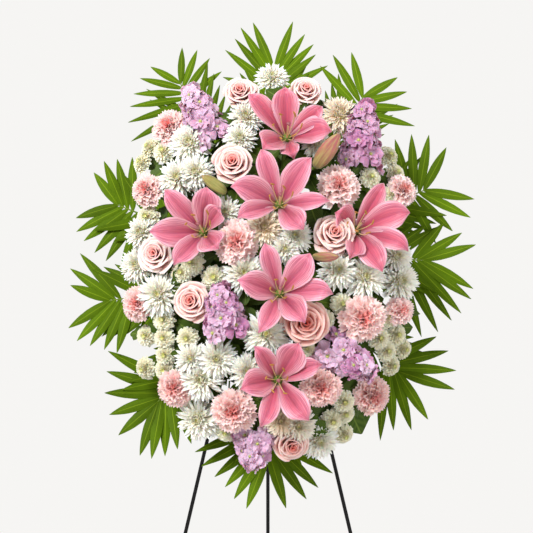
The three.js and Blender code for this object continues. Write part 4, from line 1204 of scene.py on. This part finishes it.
# Palm fronds: emerald palm, a slim rib with long pointed leaflets folded along the middle. Each
# rib is pushed into the foam behind the flowers, so that the leaflets fan out round the spray.
# In each row: name, depth, half width of a leaflet, the rib's end and base, and leaflet tips.
LEAFLET_HALF = 7.6
FRONDS = [
    ("top", -14, LEAFLET_HALF, (11, 345), (6, 116),
     ((-26, 434.6), (-48, 422), (-58, 404), (-75, 384), (-79, 338), (44, 432.8), (65, 412),
      (80, 396), (84, 374), (105, 354))),
    ("upper_right", -24, LEAFLET_HALF, (166, 297), (56, 96),
     ((146, 376), (114, 374), (91, 353), (226, 328), (242, 302), (250, 276), (255, 243))),
    ("right_upper", -12, 8.6, (272, 133), (56, 48),
     ((310, 208), (280, 230), (250, 232), (222, 226), (356, 114), (349, 82), (318, 57),
      (290, 40))),
    ("right", -22, 8.8, (267, 8), (56, 14),
     ((356, 31), (333, 54), (303, 72), (350, -42), (346, -64), (329, -86), (312, -100),
      (290, -116), (262, -124))),
    ("right_lower", -14, 9.0, (221, -184), (56, -40),
     ((316, -217), (319, -182), (307, -148), (287, -125), (270, -268), (242, -284), (212, -284),
      (190, -300))),
    ("bottom", -24, 9.6, (0, -320), (4, -116),
     ((-36, -416), (-57, -401), (-72, -380), (-90, -364), (-112, -346), (-123, -322), (30, -414),
      (64, -399), (84, -380), (109, -358))),
    ("lower_left", -14, 10, (-187, -235), (-56, -88),
     ((-252, -291), (-268, -258), (-277, -222), (-274, -184), (-272, -150), (-216, -325),
      (-196, -332), (-174, -326), (-152, -317), (-130, -305))),
    ("left", -24, 8.8, (-271, -63), (-56, -30),
     ((-337, -38), (-338, -8), (-322, 19), (-338.6, -112), (-324, -134), (-302, -142),
      (-278, -148), (-256, -155))),
    ("left_upper", -12, 8.8, (-261, 107), (-56, 30),
     ((-302, 164), (-284, 182), (-262, 188), (-236, 192), (-331, 84), (-330, 60), (-317, 42),
      (-299, 24), (-279, 8), (-252, 0))),
    ("upper_left", -24, 6.4, (-153, 322), (-56, 100),
     ((-205, 349), (-223, 328), (-234, 302), (-240, 276), (-243, 248), (-238, 218), (-150, 384),
      (-124, 382), (-102, 368), (-81, 345))),
]
palm_leaf = leaf_finish("palm leaf", "#577706", "#2d4603", "#829a1c", roughness=0.55, lines=5,
                        gloss=0.06)
rib_green = plant_green("palm rib", "#7f962c", "#566f16")


def leaflet(bend_down):
    """A leaflet of length and half width 1, folded like a roof."""
    def shape(s, t):
        width = np.interp(s, [0, 0.1, 0.3, 0.5, 0.7, 0.88, 0.96, 1],
                          [0.2, 0.6, 0.95, 1, 0.82, 0.42, 0.18, 0.03])
        return s, t * width, 0.28 * (1 - np.abs(t)) * width + bend_down * s * s
    return mesh_of("leaflet", [sheet(12, 4, 0.08, shape, palm_leaf)])


leaflet_store = store_of("leaflets", [leaflet(0.0), leaflet(-1.0), leaflet(1.0)])
FIRST_LEAFLET, LEAFLET_STEP, LAST_LEAFLET = 2, 9, 0.92
INNER_REACH, INNER_ANGLE = 104, 34
BOWL_WIDE, BOWL_TALL, BOWL_DEEP = 330, 430, 26
RIB_ROOT = -34


def bowl(x, z, layer):
    """A place in the shallow bowl that the fronds lie in."""
    return Vector((x, layer - BOWL_DEEP * ((x / BOWL_WIDE) ** 2 + (z / BOWL_TALL) ** 2), z))


for name, layer, half, (end_x, end_z), (base_x, base_z), tips in FRONDS:
    root = Vector((base_x, RIB_ROOT, base_z))
    elbow = bowl((base_x + end_x) / 2, (base_z + end_z) / 2, layer)
    end = bowl(end_x, end_z, layer)
    inward = (root - elbow).normalized()
    rods = [([end, end.lerp(elbow, 0.5), elbow, root, root + inward * STEM_SINK],
             [1.0, 1.7, 2.1, 2.4, 2.4], False)]
    way = Vector((end_x - elbow.x, 0, end_z - elbow.z))
    reach = way.length
    way.normalize()
    counts = {-1: 0, 1: 0}
    pieces = []

    def add_leaflet(start, tip_x, tip_z, most):
        along = bowl(tip_x, tip_z, layer) - start
        pieces.append((leaf_frame(start, along.normalized(), FORWARD),
                       np.array((along.length, half, half)), chance.randrange(3),
                       chance.random() * most))

    for tip_x, tip_z in tips:
        hand = int(math.copysign(1, way.x * (tip_z - end_z) - way.z * (tip_x - end_x)))
        back = min(LAST_LEAFLET, (FIRST_LEAFLET + counts[hand] * LEAFLET_STEP) / reach)
        counts[hand] += 1
        add_leaflet(end.lerp(elbow, back), tip_x, tip_z, 1)
    outward = Vector((elbow.x - root.x, 0, elbow.z - root.z)).normalized()
    for k in range(8):
        for hand in (-1, 1):
            start = end.lerp(elbow, 0.6).lerp(root, k * 0.09)
            way = Matrix.Rotation(hand * math.radians(INNER_ANGLE + 3 * k), 3, "Y") @ outward
            tip = start + way * (INNER_REACH - 3 * k)
            add_leaflet(start, tip.x, tip.z, 0.6)
    build(f"frond_{name}_leaf", rods, pieces, leaflet_store, 8, rib_green, "stand",
          "palm_leaf", f"frond_{name}")

for collection in STORES:
    for shape in list(collection.objects):
        bpy.data.objects.remove(shape)
    bpy.data.collections.remove(collection)

# Room: a pale studio floor, a pale even surround, one large soft light from the upper left and
# weaker ones from the right and from behind, as in a bright room.
floor_mesh = bpy.data.meshes.new("studio_floor")
FLOOR = 3.6
FLOOR_DROP = 0.0005
floor_mesh.from_pydata([(FLOOR * math.cos(a), FLOOR * math.sin(a), -FLOOR_DROP)
                        for a in ring(64)], [], [tuple(range(64))])
floor = new_object("studio_floor", floor_mesh)
floor_mesh.materials.append(new_finish("pale floor", 0.7, "#c4c3c1")[0])

world = bpy.data.worlds.new("studio")
world.use_nodes = True
bpy.context.scene.world = world
sky_tree = world.node_tree
sky = sky_tree.nodes["Background"]
sky.inputs["Color"].default_value = colour("#f4f3f1")
heading = add(sky_tree, "ShaderNodeSeparateXYZ", {
    0: add(sky_tree, "ShaderNodeTexCoord").outputs["Generated"]})
brighter = ranged(sky_tree, heading.outputs[1], -0.3, 0.6, 0.46, 1.02)
sky_tree.links.new(brighter.outputs[0], sky.inputs["Strength"])


def soft_light(name, place, size, power):
    """A square area light aimed at the middle of the arrangement."""
    lamp = bpy.data.lights.new(name, "AREA")
    lamp.shape = "SQUARE"
    lamp.size = size
    lamp.energy = power
    holder = new_object(name, lamp)
    holder.location = place
    holder.rotation_euler = (Vector(MIDDLE) - Vector(place)).to_track_quat("-Z", "Y").to_euler()


MIDDLE = (0, -0.1, 1.2)
soft_light("key", (-1.5, -2.7, 3.0), 1.2, 138)
soft_light("fill", (1.9, -2.9, 1.4), 1.6, 38)
soft_light("rear", (0.6, 2.8, 2.6), 2.0, 22)

# Camera: level, straight on, in front of the flowers at the height of their middle.
camera = bpy.data.cameras.new("camera")
camera.sensor_width = 36
VIEW_WIDTH, VIEW_FROM = 879.45, 3000
camera.lens = camera.sensor_width * VIEW_FROM / VIEW_WIDTH
viewer = new_object("camera", camera)
viewer.location = (-0.0115, -3.142, 1.204)
viewer.rotation_euler = (math.pi / 2, 0, 0)
bpy.context.scene.camera = viewer
bpy.context.scene.view_settings.view_transform = "Standard"
